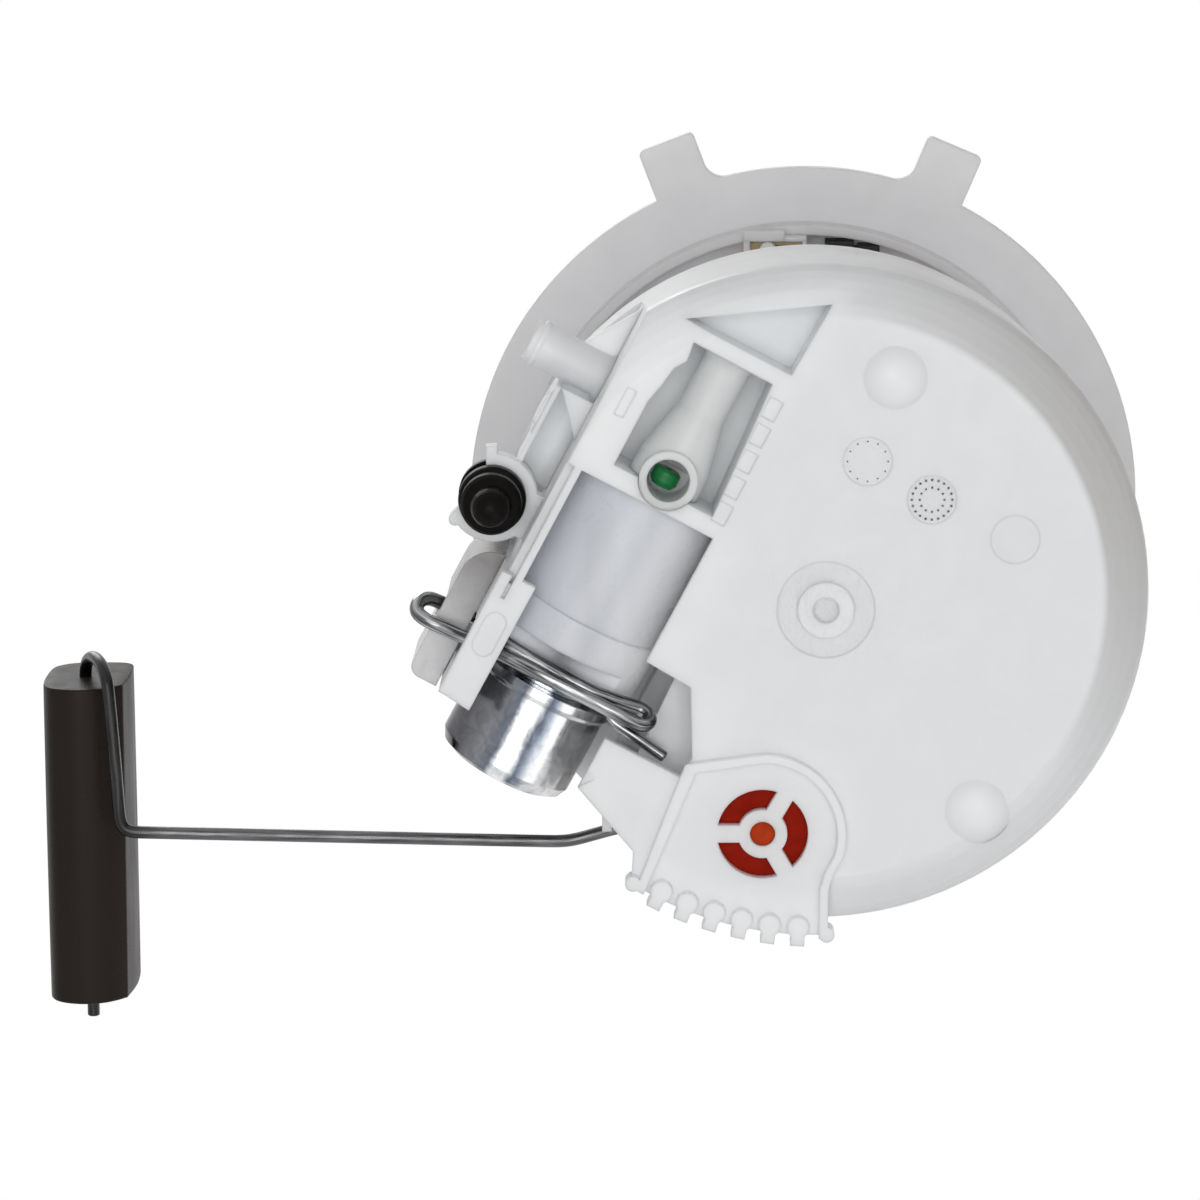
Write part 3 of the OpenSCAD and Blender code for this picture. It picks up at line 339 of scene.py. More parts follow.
def painted_edge_shade(made):
    """1 where painted shade falls on the rounded edge round the bottom face, strongest towards BAND_TURN, the
    upper right as the camera sees it.
    """
    flat = made.stretched((1, 1, 0))
    outside = made.mapped(made.vector_math("LENGTH", flat), 0, 1, *BAND_RADII)
    towards = made.vector_math("DOT_PRODUCT", made.vector_math("NORMALIZE", flat),
                               (math.cos(BAND_TURN), math.sin(BAND_TURN), 0))
    one_side = made.maths("MULTIPLY", outside, made.mapped(towards, 0, 1, *BAND_COSINES))
    return made.maths("MULTIPLY", one_side, made.axis(made.coords, "Z", *BAND_HEIGHTS))


WHITE = (0.885, 0.905, 0.92)
# Radii in millimetres between which the stress marks fade out
GATE_RING = (5.5, 15.5)


def reservoir_plastic():
    """The reservoir's plastic, with painted shade on its rounded edge and whitish stress marks round its gate.
    """
    made = moulded("reservoir_white", WHITE, milky=0.7)
    # Painted shade on the rounded edge
    made.colour_from(made.mixed(painted_edge_shade(made), made.colour_so_far(), BAND_PAINTED_SHADE))
    streaks = made.noise(420, 6, stretch=(1, 0.35, 1), distortion=2.5)
    near_gate = ring_of(made, *GATE, *GATE_RING)
    made.bump(made.maths("MULTIPLY", near_gate, made.mapped(streaks, 0, 1, 0.48, 0.62)), 0.0002, 0.5)
    return made.mat


def black_plastic(name, colour, rough=0.45, gloss=0.3):
    """Dark moulded plastic, a little uneven in tone."""
    made = Finish(name, colour, rough, Specular_IOR_Level=gloss)
    made.soft_edges(0.0003)
    made.tint(made.noise(300, 4), 0.25)
    made.uneven(made.noise(500, 4), 0.25)
    made.bump(made.noise(3000, 4), 0.00003, 0.7)
    return made.mat


def rubber(name, colour, rough, gloss=0.4):
    """Rubber or soft insulation, a little cloudy."""
    made = Finish(name, colour, rough, Specular_IOR_Level=gloss)
    made.soft_edges(0.0004)
    made.tint(made.noise(220, 5), 0.2)
    made.uneven(made.noise(320, 4), 0.2)
    made.bump(made.noise(2200, 4), 0.00003, 0.6)
    return made.mat


def metal(name, colour, rough, brushed=None, share=0.06):
    """Steel, brass or magnet; brushed gives the stretch of its fine lines."""
    made = Finish(name, colour, rough, 1.0)
    made.soft_edges(0.0002)
    lines = made.noise(900, 4, stretch=brushed) if brushed else made.noise(700, 4)
    made.tint(made.noise(160, 6, stretch=brushed, distortion=0.6), share)
    made.uneven(lines, 0.35)
    made.bump(lines, 0.000012, 0.5)
    return made.mat


# The rubber's red, and the paler orange of the painted light at its middle
VALVE_RED, VALVE_PAINTED_LIGHT = (0.27, 0.008, 0.0006), (0.46, 0.045, 0.009)
# Radii in millimetres between which the painted light fades out
VALVE_LIGHT_RING = (2.2, 3.4)


def valve_rubber():
    """Red rubber with painted light at the valve's middle, which makes it paler and more orange there."""
    made = Finish("red_rubber", VALVE_RED, 0.45, Specular_IOR_Level=0.05)
    made.soft_edges(0.0004)
    # Painted light: paler and more orange at the valve's middle
    painted_shading = made.mixed(ring_of(made, *VALVE, *VALVE_LIGHT_RING), VALVE_RED, VALVE_PAINTED_LIGHT)
    made.colour_from(made.times(painted_shading, made.noise(260, 5, distortion=0.8), 0.14))
    made.uneven(made.noise(320, 4), 0.2)
    made.bump(made.noise(2200, 4), 0.00003, 0.6)
    return made.mat


def drawn_wire(name, colour, rough, share, dark_end=None):
    """Drawn steel wire, whose streaks along it, part draw marks and part painted reflections, are darker and
    brighter by a share of its colour.

    dark_end is where darkening starts and ends on X, in metres, and the share of brightness left.
    """
    made = Finish(name, colour, rough, 1.0)
    place = made.node("ShaderNodeAttribute", attribute_name="along_wire").outputs["Vector"]
    # Streaks round and along the wire: part draw marks, part painted reflections
    streaks = made.noise(2.2, 4, vector=place, distortion=0.4)
    colour = made.mixed(made.mapped(streaks, 0, 1, 0.36, 0.64),
                        tuple(c * (1 - share) for c in colour),
                        tuple(min(1, c * (1 + share)) for c in colour))
    if dark_end:
        near, far, left = dark_end
        fade = made.ramp(made.axis(made.coords, "X", far, near), [(0, (left,) * 3), (1, (1, 1, 1))])
        colour = made.multiplied(colour, fade)
    made.colour_from(colour)
    made.uneven(made.noise(5, 4, vector=place), 0.4)
    made.bump(made.noise(9, 3, vector=place), 0.00002, 0.5)
    return made.mat


# The can's axis across the carrier and its radius, in millimetres, and the greys of its painted reflections
# from its left to its right
CAN_U, CAN_R = -39.3, 14.5
CAN_PAINTED_REFLECTIONS = [(0, (0.06, 0.06, 0.065)), (0.12, (0.11, 0.11, 0.12)), (0.27, (0.20, 0.205, 0.22)),
             (0.37, (0.13, 0.15, 0.185)), (0.42, (0.72, 0.74, 0.76)), (0.51, (0.78, 0.80, 0.81)),
             (0.565, (0.13, 0.155, 0.20)), (0.62, (0.24, 0.265, 0.31)), (0.67, (0.50, 0.505, 0.52)),
             (0.85, (0.64, 0.64, 0.645)), (1, (0.50, 0.50, 0.50))]


def zinc():
    """Bright plating on the drawn can: painted reflections in bands along it, fine draw lines and small stains.
    """
    made = Finish("zinc_can", (0.4, 0.41, 0.43), 0.2, 1.0)
    made.soft_edges(0.0004)
    lines = made.noise(1500, 3, vector=made.in_carrier((1, 0.05, 1)))
    across = made.axis(made.in_carrier(), "X", (CAN_U - CAN_R) * MM, (CAN_U + CAN_R) * MM)
    wander = made.mapped(made.noise(420, 5, vector=made.in_carrier((1, 0.08, 1))), -0.012, 0.012)
    # Painted reflections: light and dark bands across the can
    painted_shading = made.ramp(made.maths("ADD", across, wander), CAN_PAINTED_REFLECTIONS)
    stains = made.noise(330, 7, distortion=1.2)
    made.colour_from(made.times(painted_shading, stains, 0.2))
    made.uneven(stains, 0.4)
    made.bump(lines, 0.00001, 0.5)
    made.bump(made.noise(90, 3), 0.00012, 0.4)
    return made.mat


def foam(name, colour):
    """Closed-cell foam: a smooth satin skin with fine pores and faint marks along it."""
    made = Finish(name, colour, 0.4, Specular_IOR_Level=0.08)
    pores = made.node("ShaderNodeTexVoronoi", feature="F1")
    pores.inputs["Scale"].default_value = 2600
    made.link(made.coords, pores.inputs["Vector"])
    made.tint(made.noise(120, 6, stretch=(1, 0.06, 1), distortion=0.2), 0.3)
    made.uneven(made.noise(260, 5, stretch=(1, 0.2, 1)), 0.15)
    made.bump(made.noise(700, 5, stretch=(1, 0.3, 1)), 0.00003, 0.5)
    made.bump(pores.outputs["Distance"], 0.00005, 0.4)
    return made.mat


# Stretch of the fine lines on rods and can, which run upright
UPRIGHT_LINES = (1, 1, 0.05)
# One finish for each of the record's material slots
MATS = {
    "reservoir_white": reservoir_plastic(),
    "flange_white": moulded("flange_white", (0.80, 0.797, 0.81), milky=0.5, flow=0.00008).mat,
    "housing_white": housing_plastic(),
    "milky_plastic": moulded("milky_plastic", (0.76, 0.775, 0.775), rough=0.34, milky=0.85,
                             flow=0.00005).mat,
    "sender_white": moulded("sender_white", (0.80, 0.80, 0.78), milky=0.4).mat,
    "red_rubber": valve_rubber(),
    "green_plastic": black_plastic("green_plastic", (0.016, 0.205, 0.058), 0.3, 0.2),
    "black_rubber": rubber("black_rubber", (0.005, 0.0043, 0.0038), 0.3, 0.05),
    "black_plastic": black_plastic("black_plastic", (0.011, 0.011, 0.012)),
    "tan_plastic": moulded("tan_plastic", (0.46, 0.36, 0.20), milky=0.1, edge=0.0003).mat,
    "zinc_can": zinc(),
    "spring_wire": drawn_wire("spring_wire", (0.23, 0.235, 0.238), 0.24, 0.8),
    "arm_wire": drawn_wire("arm_wire", (0.105, 0.105, 0.108), 0.3, 0.35, (-0.138, -0.147, 0.3)),
    "rod_steel": metal("rod_steel", (0.55, 0.55, 0.56), 0.2, UPRIGHT_LINES, 0.1),
    "pump_steel": metal("pump_steel", (0.5, 0.5, 0.5), 0.3, UPRIGHT_LINES, 0.1),
    "magnet_black": metal("magnet_black", (0.06, 0.06, 0.065), 0.5),
    "rotor_copper": metal("rotor_copper", (0.55, 0.33, 0.2), 0.35),
    "ceramic_card": moulded("ceramic_card", (0.62, 0.58, 0.48), milky=0.05, edge=0.0001).mat,
    "contact_brass": metal("contact_brass", (0.7, 0.54, 0.26), 0.25),
    "float_foam": foam("float_foam", (0.0185, 0.0135, 0.0118)),
    "filter_paper": moulded("filter_paper", (0.55, 0.45, 0.25), rough=0.9, milky=0.0, edge=0.0002).mat,
    "strainer_mesh": moulded("strainer_mesh", (0.6, 0.6, 0.58), rough=0.8, milky=0.1).mat,
    "hose_black": black_plastic("hose_black", (0.012, 0.012, 0.013), 0.38),
    "red_wire": rubber("red_wire", (0.36, 0.022, 0.015), 0.42),
    "grey_wire": rubber("grey_wire", (0.12, 0.16, 0.24), 0.42),
}
SLOT_OF = {part["node"]: part["material_slot"] for part in frame["record"]["subparts"]}


def dress(obj, slot):
    """Gives an object its slot's finish."""
    obj.data.materials.clear()
    obj.data.materials.append(MATS[slot])


for name, node in NODES.items():
    dress(node, SLOT_OF[name])
# The side chamber gets painted shade that makes it darker than the other pieces of its slot
NODES["side_chamber"].data.materials[0] = chamber_plastic()

# ---------------------------------------------------------------- mesh helpers


def catmull(points, steps):
    """Smooth curve through a list of points."""
    out, last = [], len(points) - 1
    for i in range(last):
        a, b, c, d = (points[max(i - 1, 0)], points[i], points[i + 1], points[min(i + 2, last)])
        for k in range(steps):
            t = k / steps
            out.append(0.5 * (2 * b + (c - a) * t + (2 * a - 5 * b + 4 * c - d) * t * t
                              + (3 * b - a - 3 * c + d) * t ** 3))
    return out + [points[last]]


def resampled(path, step):
    """Points at even distances along a path, with the distance to each."""
    lengths = [0.0]
    for a, b in zip(path, path[1:]):
        lengths.append(lengths[-1] + (b - a).length)
    count = max(2, round(lengths[-1] / step))
    out, k = [], 0
    for i in range(count + 1):
        want = lengths[-1] * i / count
        while k < len(path) - 2 and lengths[k + 1] < want:
            k += 1
        span = lengths[k + 1] - lengths[k]
        out.append((path[k].lerp(path[k + 1], (want - lengths[k]) / span if span else 0), want))
    return out


def eased(points, step, passes):
    """A polyline at even steps with its corners rounded by repeated averaging."""
    path = [p for p, _ in resampled(points, step)]
    for _ in range(passes):
        between = [(a + 2 * b + c) / 4 for a, b, c in zip(path, path[1:], path[2:])]
        path = [path[0]] + between + [path[-1]]
    return path


def placed(mesh, slot, body):
    """An object of a mesh, with its slot's finish, that moves with a body."""
    obj = bpy.data.objects.new(mesh.name, mesh)
    bpy.context.scene.collection.objects.link(obj)
    dress(obj, slot)
    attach(obj, body)
    return obj


def new_piece(name, verts, faces, slot, body):
    """A smooth-shaded object of vertices and faces."""
    mesh = bpy.data.meshes.new(name)
    mesh.from_pydata([tuple(v) for v in verts], [], faces)
    mesh.update()
    mesh.polygons.foreach_set("use_smooth", [True] * len(mesh.polygons))
    return placed(mesh, slot, body)


def bands(rings, sides, first=0, flipped=False):
    """Faces between neighbouring rings of vertices, the first of which is numbered first."""
    faces = []
    for i in range(rings - 1):
        for k in range(sides):
            a, b = first + i * sides + k, first + i * sides + (k + 1) % sides
            if flipped:
                a, b = b, a
            faces.append((a, b, b + sides, a + sides))
    return faces


def skin(rings, sides, flipped=False):
    """Faces of a closed form: its bands and a cap at both ends."""
    caps = [tuple(range(sides - 1, -1, -1)), tuple((rings - 1) * sides + k for k in range(sides))]
    return bands(rings, sides, flipped=flipped) + [cap[::-1] if flipped else cap for cap in caps]


CHAMFER_SHARE = 0.14
DOME_ANGLES = (78, 52, 26)


def tube(path, radii, sides, ends="dome"):
    """Vertices and faces of a tube along a path; radii is one number or one for each point.

    Its ends are domes, cuts with a small chamfer, or left as they are.
    """
    if not isinstance(radii, list):
        radii = [radii] * len(path)
    first, last = (path[0] - path[1]).normalized(), (path[-1] - path[-2]).normalized()
    if ends == "cut":
        chamfer = radii[0] * CHAMFER_SHARE
        path = [path[0] + first * chamfer] + path + [path[-1] + last * chamfer]
        radii = [radii[0] - chamfer] + radii + [radii[-1] - chamfer]
    if ends == "dome":
        turns = [math.radians(a) for a in DOME_ANGLES]
        path = ([path[0] + first * radii[0] * math.sin(a) for a in turns] + path
                + [path[-1] + last * radii[-1] * math.sin(a) for a in reversed(turns)])
        radii = ([radii[0] * math.cos(a) for a in turns] + radii
                 + [radii[-1] * math.cos(a) for a in reversed(turns)])
    verts = []
    side = None
    for i, p in enumerate(path):
        ahead = (path[min(i + 1, len(path) - 1)] - path[max(i - 1, 0)]).normalized()
        if side is None:
            side = ahead.orthogonal().normalized()
        side = (side - ahead * side.dot(ahead)).normalized()
        other = ahead.cross(side)
        verts += [p + radii[i] * (c * side + s * other) for c, s in around(sides)]
    return verts, skin(len(path), sides)


# What the wires' noise sees: the radius of every wire, and how much of its length in millimetres
STREAK_ROUND, STREAK_ALONG = 1.2, 0.05


def mark_wire(obj, sides):
    """Keeps each vertex's place round and along the wire, for the drawn streaks."""
    verts = obj.data.vertices
    kept = obj.data.attributes.new("along_wire", "FLOAT_VECTOR", "POINT")
    circle = around(sides)
    along = 0.0
    for i, vert in enumerate(verts):
        ring, k = divmod(i, sides)
        if ring and not k:
            along += (vert.co - verts[i - sides].co).length * 1000
        c, s = circle[k]
        kept.data[i].vector = (STREAK_ROUND * c, STREAK_ROUND * s, along * STREAK_ALONG)


def rectangle(x0, y0, x1, y1):
    """Corners of a rectangle, in order."""
    return [(x0, y0), (x1, y0), (x1, y1), (x0, y1)]


def slab(name, outline, low, high, slot, body, place=row, soft=0.3):
    """A flat plate on an outline, between two heights, with its edges rounded; all in millimetres."""
    made = bmesh.new()
    rings = [[made.verts.new(place(x, y, w)) for x, y in outline] for w in (low, high)]
    made.faces.new(rings[0])
    made.faces.new(rings[1][::-1])
    for k in range(len(outline)):
        n = (k + 1) % len(outline)
        made.faces.new((rings[0][n], rings[0][k], rings[1][k], rings[1][n]))
    bmesh.ops.recalc_face_normals(made, faces=made.faces)
    bmesh.ops.bevel(made, geom=list(made.edges), offset=soft * MM, segments=3, affect="EDGES",
                    profile=0.5)
    mesh = bpy.data.meshes.new(name)
    made.to_mesh(mesh)
    made.free()
    placed(mesh, slot, body)


# ---------------------------------------------------------------- wires, springs and hose

# Radii of the steel wires and of the insulated ones, in metres
CLIP_R, ARM_R, PAIR_R = 0.0015, 0.00135, 0.0009
# The clip is drawn thinner towards its cut end: by how much, over how many points at that end, and
# how many of those it takes to get there
CLIP_THINNER, THIN_POINTS, THINNING_POINTS = 0.0003, 60, 20
WIRE_SIDES = 24
# Route of the regulator's clip, in the carrier's axes
CLIP_ROUTE = [(-55.5, 38.3, 7.2), (-51.5, 38.6, 5.2), (-44, 38.8, 3.6), (-33, 38.9, 3.1), (-27, 38.5, 4.1),
              (-23, 38.1, 5), (-20.4, 37.9, 5.5), (-18.6, 38.1, 4.7), (-17.9, 38.7, 3.1), (-18.4, 39.4, 1.5),
              (-20.2, 39.9, 0.6), (-25, 39.9, 0.2), (-33, 39.9, -0.1), (-42, 40.1, 0.4), (-48, 40.4, 2.4),
              (-54.5, 41.3, 6.2), (-59.7, 42.4, 9.6), (-64, 43, 11.6), (-67.8, 43.4, 12.4), (-70.2, 43, 13.9),
              (-70.7, 41.5, 15.8), (-69.3, 40.3, 17.8), (-66.4, 40.2, 19.8), (-62, 40.8, 23), (-57.5, 41.3, 27),
              (-50, 41.7, 31), (-39.3, 41.7, 32.4), (-31, 41.9, 31.4), (-26.3, 42.2, 28), (-23.2, 42.3, 22),
              (-23.2, 42.3, 14.5), (-24.5, 42.6, 10.8), (-24.8, 43, 9), (-23, 43.5, 8.4), (-18, 44.2, 8.5),
              (-11.2, 45.2, 8.8)]
clip_path = catmull([carrier(*p) for p in CLIP_ROUTE], 10)
clip_radii = [CLIP_R - CLIP_THINNER * min(1, max(0, i - len(clip_path) + THIN_POINTS) / THINNING_POINTS)
              for i in range(len(clip_path))]
clip = new_piece("regulator_clip_wire", *tube(clip_path, clip_radii, WIRE_SIDES, "cut"), "spring_wire",
                 "reservoir")
mark_wire(clip, WIRE_SIDES)
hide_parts("regulator_clip")

# The float arm: its angle at rest, its pivot's x and height, and the sizes of its route
ARM_REST = math.radians(-3.2)
PIVOT = (-30.0, 45.0)
ARM_LEN, ARM_Y, HUB_Y, FLOAT_RISE = 118.0, 61.7, 58.4, 17.35
ARM_END_Y, ARM_LEAN, LEG_PAST = 58.3, 2.0, 6.3
# The bend round the float's end: where it starts and how much further it reaches
HOOK_Y, HOOK_REACH = 26.5, 4.6
# How far out the float lies, and the y of its two ends
FLOAT_S = ARM_LEN + 8
FLOAT_Y = (27.7, 97.5)


def on_arm(s, y, h):
    """A point s out along the float arm and h above it, in millimetres."""
    x, z = -s, h
    return row(PIVOT[0] + x * math.cos(ARM_REST) + z * math.sin(ARM_REST), y,
               PIVOT[1] - x * math.sin(ARM_REST) + z * math.cos(ARM_REST))


arm_points = [(-10, HUB_Y, 0), (10, HUB_Y, 0), (22, ARM_Y, 0), (ARM_LEN, ARM_END_Y, 0),
              (ARM_LEN + 0.9, 42, 0), (ARM_LEN + ARM_LEAN, HOOK_Y, 0)]
for turn in range(10, 180, 10):
    t = math.radians(turn)
    arm_points.append((ARM_LEN + ARM_LEAN + (FLOAT_S - ARM_LEN - ARM_LEAN) * (1 - math.cos(t)) / 2,
                       HOOK_Y - HOOK_REACH * math.sin(t), FLOAT_RISE * (1 - math.cos(t)) / 2))
arm_points += [(FLOAT_S, HOOK_Y + 0.3, FLOAT_RISE), (FLOAT_S, FLOAT_Y[1] + LEG_PAST, FLOAT_RISE)]
arm_path = eased([on_arm(*p) for p in arm_points], 0.0005, 36)
arm = new_piece("float_arm_wire", *tube(arm_path, ARM_R, WIRE_SIDES, "cut"), "arm_wire", "float_arm_body")
mark_wire(arm, WIRE_SIDES)
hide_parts("float_arm")


def float_block():
    """Foam float: a crowned near face with a crisp corner at its right, and softened ends."""
    # Outline across the float in millimetres, from the arm's leg that it turns on
    top = [(-8.6, 5.6), (-8.3, 8.9), (-6.9, 11.8), (-4, 13.8), (-0.4, 14.5), (3.4, 13.7), (6.3, 11.8),
           (8.6, 9.5), (9.7, 0), (9.9, -9.5), (9.2, -12.8), (6.2, -14.3), (-1.5, -14.4), (-5.4, -12.7),
           (-7.7, -8.8), (-8.6, 0)]
    corner = 7
    # At the other end the corner lies 0.4 mm further in, and the two points before it follow
    bottom = [(x, y) if i not in (5, 6, 7) else (x - 0.4 * (i - 4) / 3, y) for i, (x, y) in enumerate(top)]

    def ring(outline):
        from_corner = [Vector(p) for p in outline[corner:] + outline[:corner + 1]]
        return catmull(from_corner, 6)[:-1]

    rings = ring(top), ring(bottom)
    length, soft, cap_inset, sections, crown = FLOAT_Y[1] - FLOAT_Y[0], 0.5, 3.2, 24, 0.1
    # Place along the float of each ring of vertices, and how far it is drawn in
    stations = [(0, cap_inset), (0, soft)]
    stations += [(soft * (1 - math.cos(math.radians(t))), soft * (1 - math.sin(math.radians(t))))
                 for t in (25, 50, 75, 90)]
    stations += [(length * k / sections, -crown * math.sin(math.pi * k / sections))
                 for k in range(1, sections)]
    stations += [(length - at, inset) for at, inset in stations[5::-1]]
    verts = []
    for at, inset in stations:
        for a, b in zip(*rings):
            p = a.lerp(b, at / length)
            q = p - p.normalized() * inset
            verts.append(on_arm(FLOAT_S - q.x, FLOAT_Y[0] + at, FLOAT_RISE - q.y))
    obj = new_piece("float_block", verts, skin(len(stations), len(rings[0])), "float_foam", "float_body")
    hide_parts("float")


float_block()

ROD_X, ROD_Y = 12.4, 46.4
SPRING_LOW, SPRING_HIGH = 57.5, 108.0


def spring(name, y, node):
    """Coil spring round a guide rod; its turns lie closer at both ends and in the middle."""
    wire, coil, turns, closer, sides = 0.65, 5.2, 9, 0.56, 12
    low, high = SPRING_LOW + wire, SPRING_HIGH - wire
    path, steps = [], 36
    for i in range(turns * steps + 1):
        t = i / (turns * steps)
        h = t - closer * math.sin(4 * math.pi * t) / (4 * math.pi)
        a = 2 * math.pi * i / steps
        path.append(row(ROD_X + coil * math.cos(a), y + coil * math.sin(a), low + (high - low) * h))
    obj = new_piece(name, *tube(path, wire * MM, sides), "spring_wire", "reservoir")
    mark_wire(obj, sides)
    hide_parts(node)
    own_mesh(obj)


spring("spring_front_coil", -ROD_Y, "spring_front")
spring("spring_back_coil", ROD_Y, "spring_back")

RISER = in_plan(CAN_U, 20)
RISER_TOP, COVER_TOP, FILTER_TOP = 68.0, 56.5, 68.0
HOSE = [(*RISER, RISER_TOP - 8), (*RISER, RISER_TOP + 2), (RISER[0] + 1, RISER[1] + 1, RISER_TOP + 10),
        (-40, 4, 86), (-30, 10, 93), (-22, 14, 99), (-20, 15, 104), (-20, 15, 110)]
# The corrugated run lies between these heights and a cuff at each end
HOSE_FOOT, HOSE_TOP = 60.0, 103.4
# In metres: pitch of the corrugations, radius between them, their rise; plain ends; and cuffs
HOSE_PITCH, HOSE_R, HOSE_RISE = 0.0032, 0.0046, 0.0009
PLAIN_LENGTH, PLAIN_R = 0.006, 0.0054
CUFF_R, CUFF_END_R = 0.0059, 0.0055
HOSE_SIDES = 32


def cuff(name, x, y, low, high, body):
    """Smooth end of the hose, which stays round and upright on the tube inside it."""
    path = [row(x, y, w) for w in (low, low + 0.5, high - 0.5, high)]
    radii = [CUFF_END_R, CUFF_R, CUFF_R, CUFF_END_R]
    new_piece(name, *tube(path, radii, HOSE_SIDES, "cut"), "hose_black", body)


def hose():
    """Corrugated hose from the riser to the flange, with its two cuffs."""
    line = resampled(catmull([row(*p) for p in HOSE], 12), 0.0004)
    line = [(p, at) for p, at in line if p.z <= row(0, 0, HOSE_TOP).z]
    total = line[-1][1]
    radii = []
    for _, at in line:
        wave = 0.5 - 0.5 * math.cos(2 * math.pi * at / HOSE_PITCH)
        plain = min(at, total - at) < PLAIN_LENGTH
        radii.append(PLAIN_R if plain else HOSE_R + HOSE_RISE * wave ** 0.6)
    obj = new_piece("corrugated_hose_run", *tube([p for p, _ in line], radii, HOSE_SIDES, "open"),
                    "hose_black", "reservoir")
    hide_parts("corrugated_hose")
    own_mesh(obj)
    cuff("hose_cuff_low", *RISER, HOSE_FOOT, RISER_TOP + 1.5, "reservoir")
    cuff("hose_cuff_top", -20, 15, HOSE_TOP - 0.8, 110, "flange_body")


hose()

PUMP_WIRE = [(13.1, -56.7, 109.8), (15.5, -55, 104), (21.5, -47.5, 97), (27, -36, 88),
             (31, -24, FILTER_TOP + 11), (31.6, -20, FILTER_TOP + 3.2)]
SENDER_WIRE = [(-11, -53.4, 107.8), (-12.5, -51, 102), (-24, -36, 90), (-35, -12, COVER_TOP + 19.5),
               (-36, 20, COVER_TOP + 9.5), (-30, 40, COVER_TOP + 5.5), (-24, 50.4, COVER_TOP + 1.5),
               (-24, 50.6, 53)]


def wires(name, route, slot, node):
    """Two insulated wires side by side."""
    apart, sides = 2.6, 14
    verts, faces = [], []
    for i in (0, 1):
        path = catmull([row(x + apart * i, y, w) for x, y, w in route], 12)
        more_verts, more_faces = tube(path, PAIR_R, sides, "cut")
        faces += [tuple(k + len(verts) for k in face) for face in more_faces]
        verts += more_verts
    obj = new_piece(name, verts, faces, slot, "reservoir")
    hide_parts(node)
    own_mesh(obj)


wires("pump_wire_pair", PUMP_WIRE, "red_wire", "pump_wires")
wires("sender_wire_pair", SENDER_WIRE, "grey_wire", "sender_wires")

# ---------------------------------------------------------------- small forms

# Ledge in the clip's notch, and the filled seam beside the arm plate
slab("notch_ledge", [(-16.8, 26.2), (-4.6, 26.2), (-4.6, 50.8), (-15.8, 50.8)], 12, 13.4,
     "reservoir_white", "reservoir", carrier)
slab("arm_seam", rectangle(-57.3, 26.3, -56.1, 29.8), 0.9, 2.5, "reservoir_white", "reservoir", carrier,
     soft=0.2)
# White frame that holds the inner connector, one bar on each side
FRAME_HEIGHTS = (106.6, 110.9)
for name, bar in (("connector_frame_far", rectangle(-13.7, -62.7, -4.5, -60.3)),
                  ("connector_frame_near", rectangle(-4.7, -61.4, 0.4, -60.3)),
                  ("connector_frame_left", rectangle(-13.7, -60.6, -12.2, -52)),
                  ("connector_frame_right", rectangle(-0.6, -60.6, 0.4, -52))):
    slab(name, bar, *FRAME_HEIGHTS, "flange_white", "flange_body")


def turned(name, profile, centre, slot, body, sides=40):
    """A body of revolution about an upright line; profile is radius and height in millimetres."""
    verts = [row(centre[0] + r * c, centre[1] + r * s, w) for r, w in profile for c, s in around(sides)]
    return new_piece(name, verts, skin(len(profile), sides, flipped=True), slot, body)


# The white plug's cap: its radius and the height at which its domed end starts
CAP_R, CAP_LOW = 1.9, 105.4
dome = [(CAP_R * math.cos(math.radians(t)), CAP_LOW - CAP_R * math.sin(math.radians(t)))
        for t in range(85, -1, -8)]
plug = turned("white_plug_cap", dome + [(CAP_R, 108.5), (1.5, 109), (1.5, 111)], (-8.3, -58.4),
              "flange_white", "flange_body")
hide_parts("white_plug")

# The round mould marks: centre, and radius, number and size of the dots in each of its rings
DOT_MARKS = (((10.4, -28.8), ((4.1, 12, 0.22),)),
             ((23.5, -20.9), ((4.1, 20, 0.36), (2.5, 12, 0.32))))
# Share of a dot's radius and of its rise at each ring of its vertices, and its rise from a foot
# inside the plastic, in millimetres
DOT_RINGS = ((1, 0), (0.82, 0.6), (0.45, 0.95))
DOT_RISE, DOT_FOOT = 0.16, 0.3


def mark_dots():
    """Rings of small raised dots in the round mould marks."""
    verts, faces, sides = [], [], 10

    def dot(x, y, r):
        base = len(verts)
        for share, up in DOT_RINGS:
            verts.extend(row(x + r * share * c, y + r * share * s, DOT_FOOT - DOT_RISE * up)
                         for c, s in around(sides))
        faces.extend(bands(len(DOT_RINGS), sides, base, flipped=True))
        faces.append(tuple(base + 2 * sides + k for k in range(sides)))

    for (x, y), rings in DOT_MARKS:
        for radius, count, size in rings:
            for c, s in around(count):
                dot(x + radius * c, y + radius * s, size)
    new_piece("mould_mark_dots", verts, faces, "reservoir_white", "reservoir")


mark_dots()

# ---------------------------------------------------------------- stage


# The floor's painted shadow tone close to the part and its plain tone away from it, and the distances in metres
# between which it changes
FLOOR_SHADOW_TONES, FLOOR_SPAN = (0.42, 0.86), (0.06, 0.09)
FLOOR_ROUGH = (0.85, 0.95)


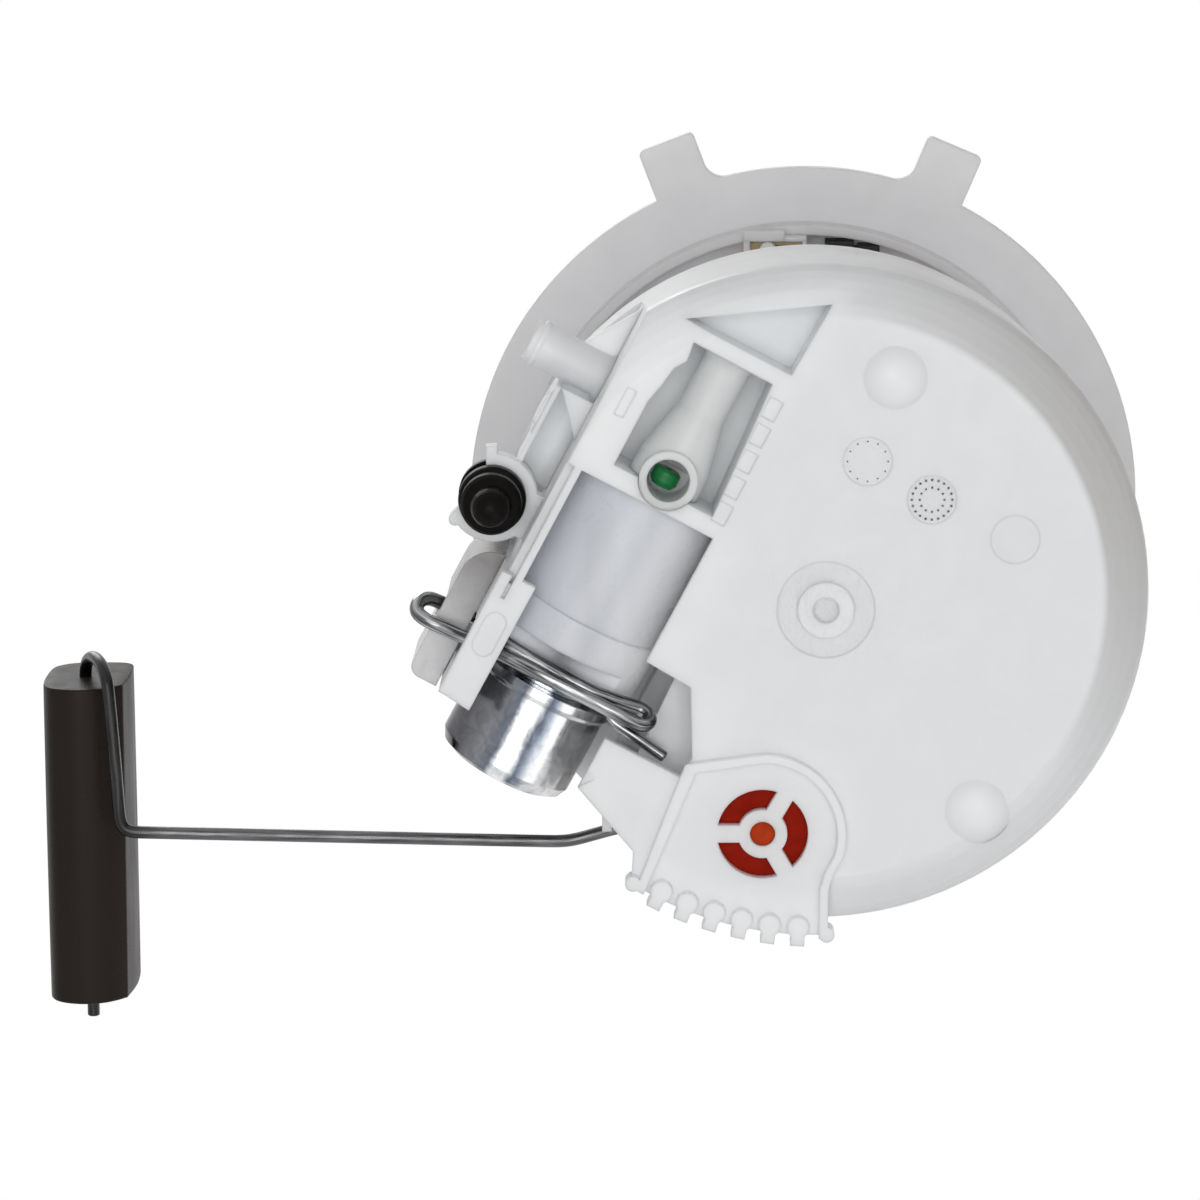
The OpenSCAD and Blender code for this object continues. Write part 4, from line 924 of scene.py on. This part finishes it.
def stage_floor():
    """Pale floor, with a painted shadow close to the part, that only the camera sees, and only from above, so
    the view from below stays clear.
    """
    bpy.ops.mesh.primitive_plane_add(size=6, location=(0, 0, FLOOR))
    floor = bpy.context.object
    floor.name = "floor"
    made = Finish("floor", (FLOOR_SHADOW_TONES[1],) * 3, FLOOR_ROUGH[1])
    # Painted shadow: darker close to the part, where the light from below would glow between the two
    tone = made.mapped(made.vector_math("LENGTH", made.coords), *FLOOR_SHADOW_TONES, *FLOOR_SPAN)
    tone.node.interpolation_type = "SMOOTHSTEP"
    made.colour_from(tone)
    noise = made.node("ShaderNodeTexNoise")
    noise.inputs["Scale"].default_value = 60
    made.link(made.mapped(noise.outputs["Fac"], *FLOOR_ROUGH, 0, 1), made.bsdf.inputs["Roughness"])
    clear = made.node("ShaderNodeBsdfTransparent")
    geometry, path = made.node("ShaderNodeNewGeometry"), made.node("ShaderNodeLightPath")
    # Seen by camera rays that meet its upper side
    seen = made.maths("SUBTRACT", path.outputs["Is Camera Ray"], geometry.outputs["Backfacing"], clamp=True)
    made.end_with(seen, clear.outputs[0], made.bsdf.outputs[0], "Material Output")
    floor.data.materials.append(made.mat)


# Colour and strength of the world's light, and of the white that the camera and reflections see
WORLD_LIGHT = ((1.0, 0.985, 0.98, 1), 0.36)
WORLD_SHOWN = ((1, 1, 1, 1), 1.0)


def world():
    """Even light all round, which the camera, metal and clear plastic see as plain white."""
    made = bpy.data.worlds.new("world")
    bpy.context.scene.world = made
    nodes = NodeTree(made)
    light, shown = nodes.tree.nodes["Background"], nodes.node("ShaderNodeBackground")
    for background, (colour, strength) in ((light, WORLD_LIGHT), (shown, WORLD_SHOWN)):
        background.inputs["Color"].default_value = colour
        background.inputs["Strength"].default_value = strength
    path = nodes.node("ShaderNodeLightPath")
    fac = path.outputs["Is Camera Ray"]
    for ray in ("Is Glossy Ray", "Is Transmission Ray"):
        fac = nodes.maths("ADD", fac, path.outputs[ray], clamp=True)
    nodes.end_with(fac, light.outputs[0], shown.outputs[0], "World Output")


# Middle of the part, and each lamp's name, place, size in metres and level
MIDDLE = (-0.03, 0.0, -0.08)
LAMPS = (("key_below", (-0.06, -0.15, -1.3), 0.9, 0.46),
         ("fill_below", (0.45, 0.7, -0.95), 0.6, 0.09),
         ("key_above", (-0.6, -0.7, 1.1), 0.7, 0.30),
         ("fill_above", (0.8, 0.5, 0.9), 0.7, 0.14))


def lamp(name, place, size, level):
    """Square soft box that points at the part; level is what it adds to a white surface that faces it."""
    data = bpy.data.lights.new(name, "AREA")
    data.shape = "SQUARE"
    data.size = size
    place, target = Vector(place), Vector(MIDDLE)
    data.energy = level * (place - target).length ** 2 * math.pi ** 2
    obj = bpy.data.objects.new(name, data)
    obj.location = place
    obj.rotation_mode = "QUATERNION"
    obj.rotation_quaternion = (target - place).to_track_quat("-Z", "Y")
    bpy.context.scene.collection.objects.link(obj)


stage_floor()
world()
for name, place, size, level in LAMPS:
    lamp(name, place, size, level)

# Camera at the photo's angle, DISTANCE away from a point of the reservoir's bottom, in millimetres
TILT, YAW, DISTANCE = math.radians(11.35), math.radians(1.1), 983.0
AIM = (-44.0, -0.2)
# The photo's width and the focal length, both in its pixels, and the sensor's width in millimetres
PHOTO_WIDTH, FOCAL_LENGTH, SENSOR = 1200, 4817, 36


def add_camera():
    """Sets up the scene's camera, whose upright is -Y as in the photo."""
    ahead = Vector((-math.tan(YAW) * math.cos(TILT), math.sin(TILT), math.cos(TILT))).normalized()
    up = Vector((0, -math.cos(TILT), math.sin(TILT)))
    up = (up - ahead * up.dot(ahead)).normalized()
    data = bpy.data.cameras.new("camera")
    data.sensor_width = SENSOR
    data.lens = SENSOR * FOCAL_LENGTH / PHOTO_WIDTH
    data.clip_start, data.clip_end = 0.01, 20
    camera = bpy.data.objects.new("camera", data)
    turn = Matrix((ahead.cross(up), up, -ahead)).transposed()
    camera.matrix_world = Matrix.Translation(row(*AIM, 0) - ahead * DISTANCE * MM) @ turn.to_4x4()
    bpy.context.scene.collection.objects.link(camera)
    bpy.context.scene.camera = camera


add_camera()
bpy.context.scene.view_settings.view_transform = "Standard"
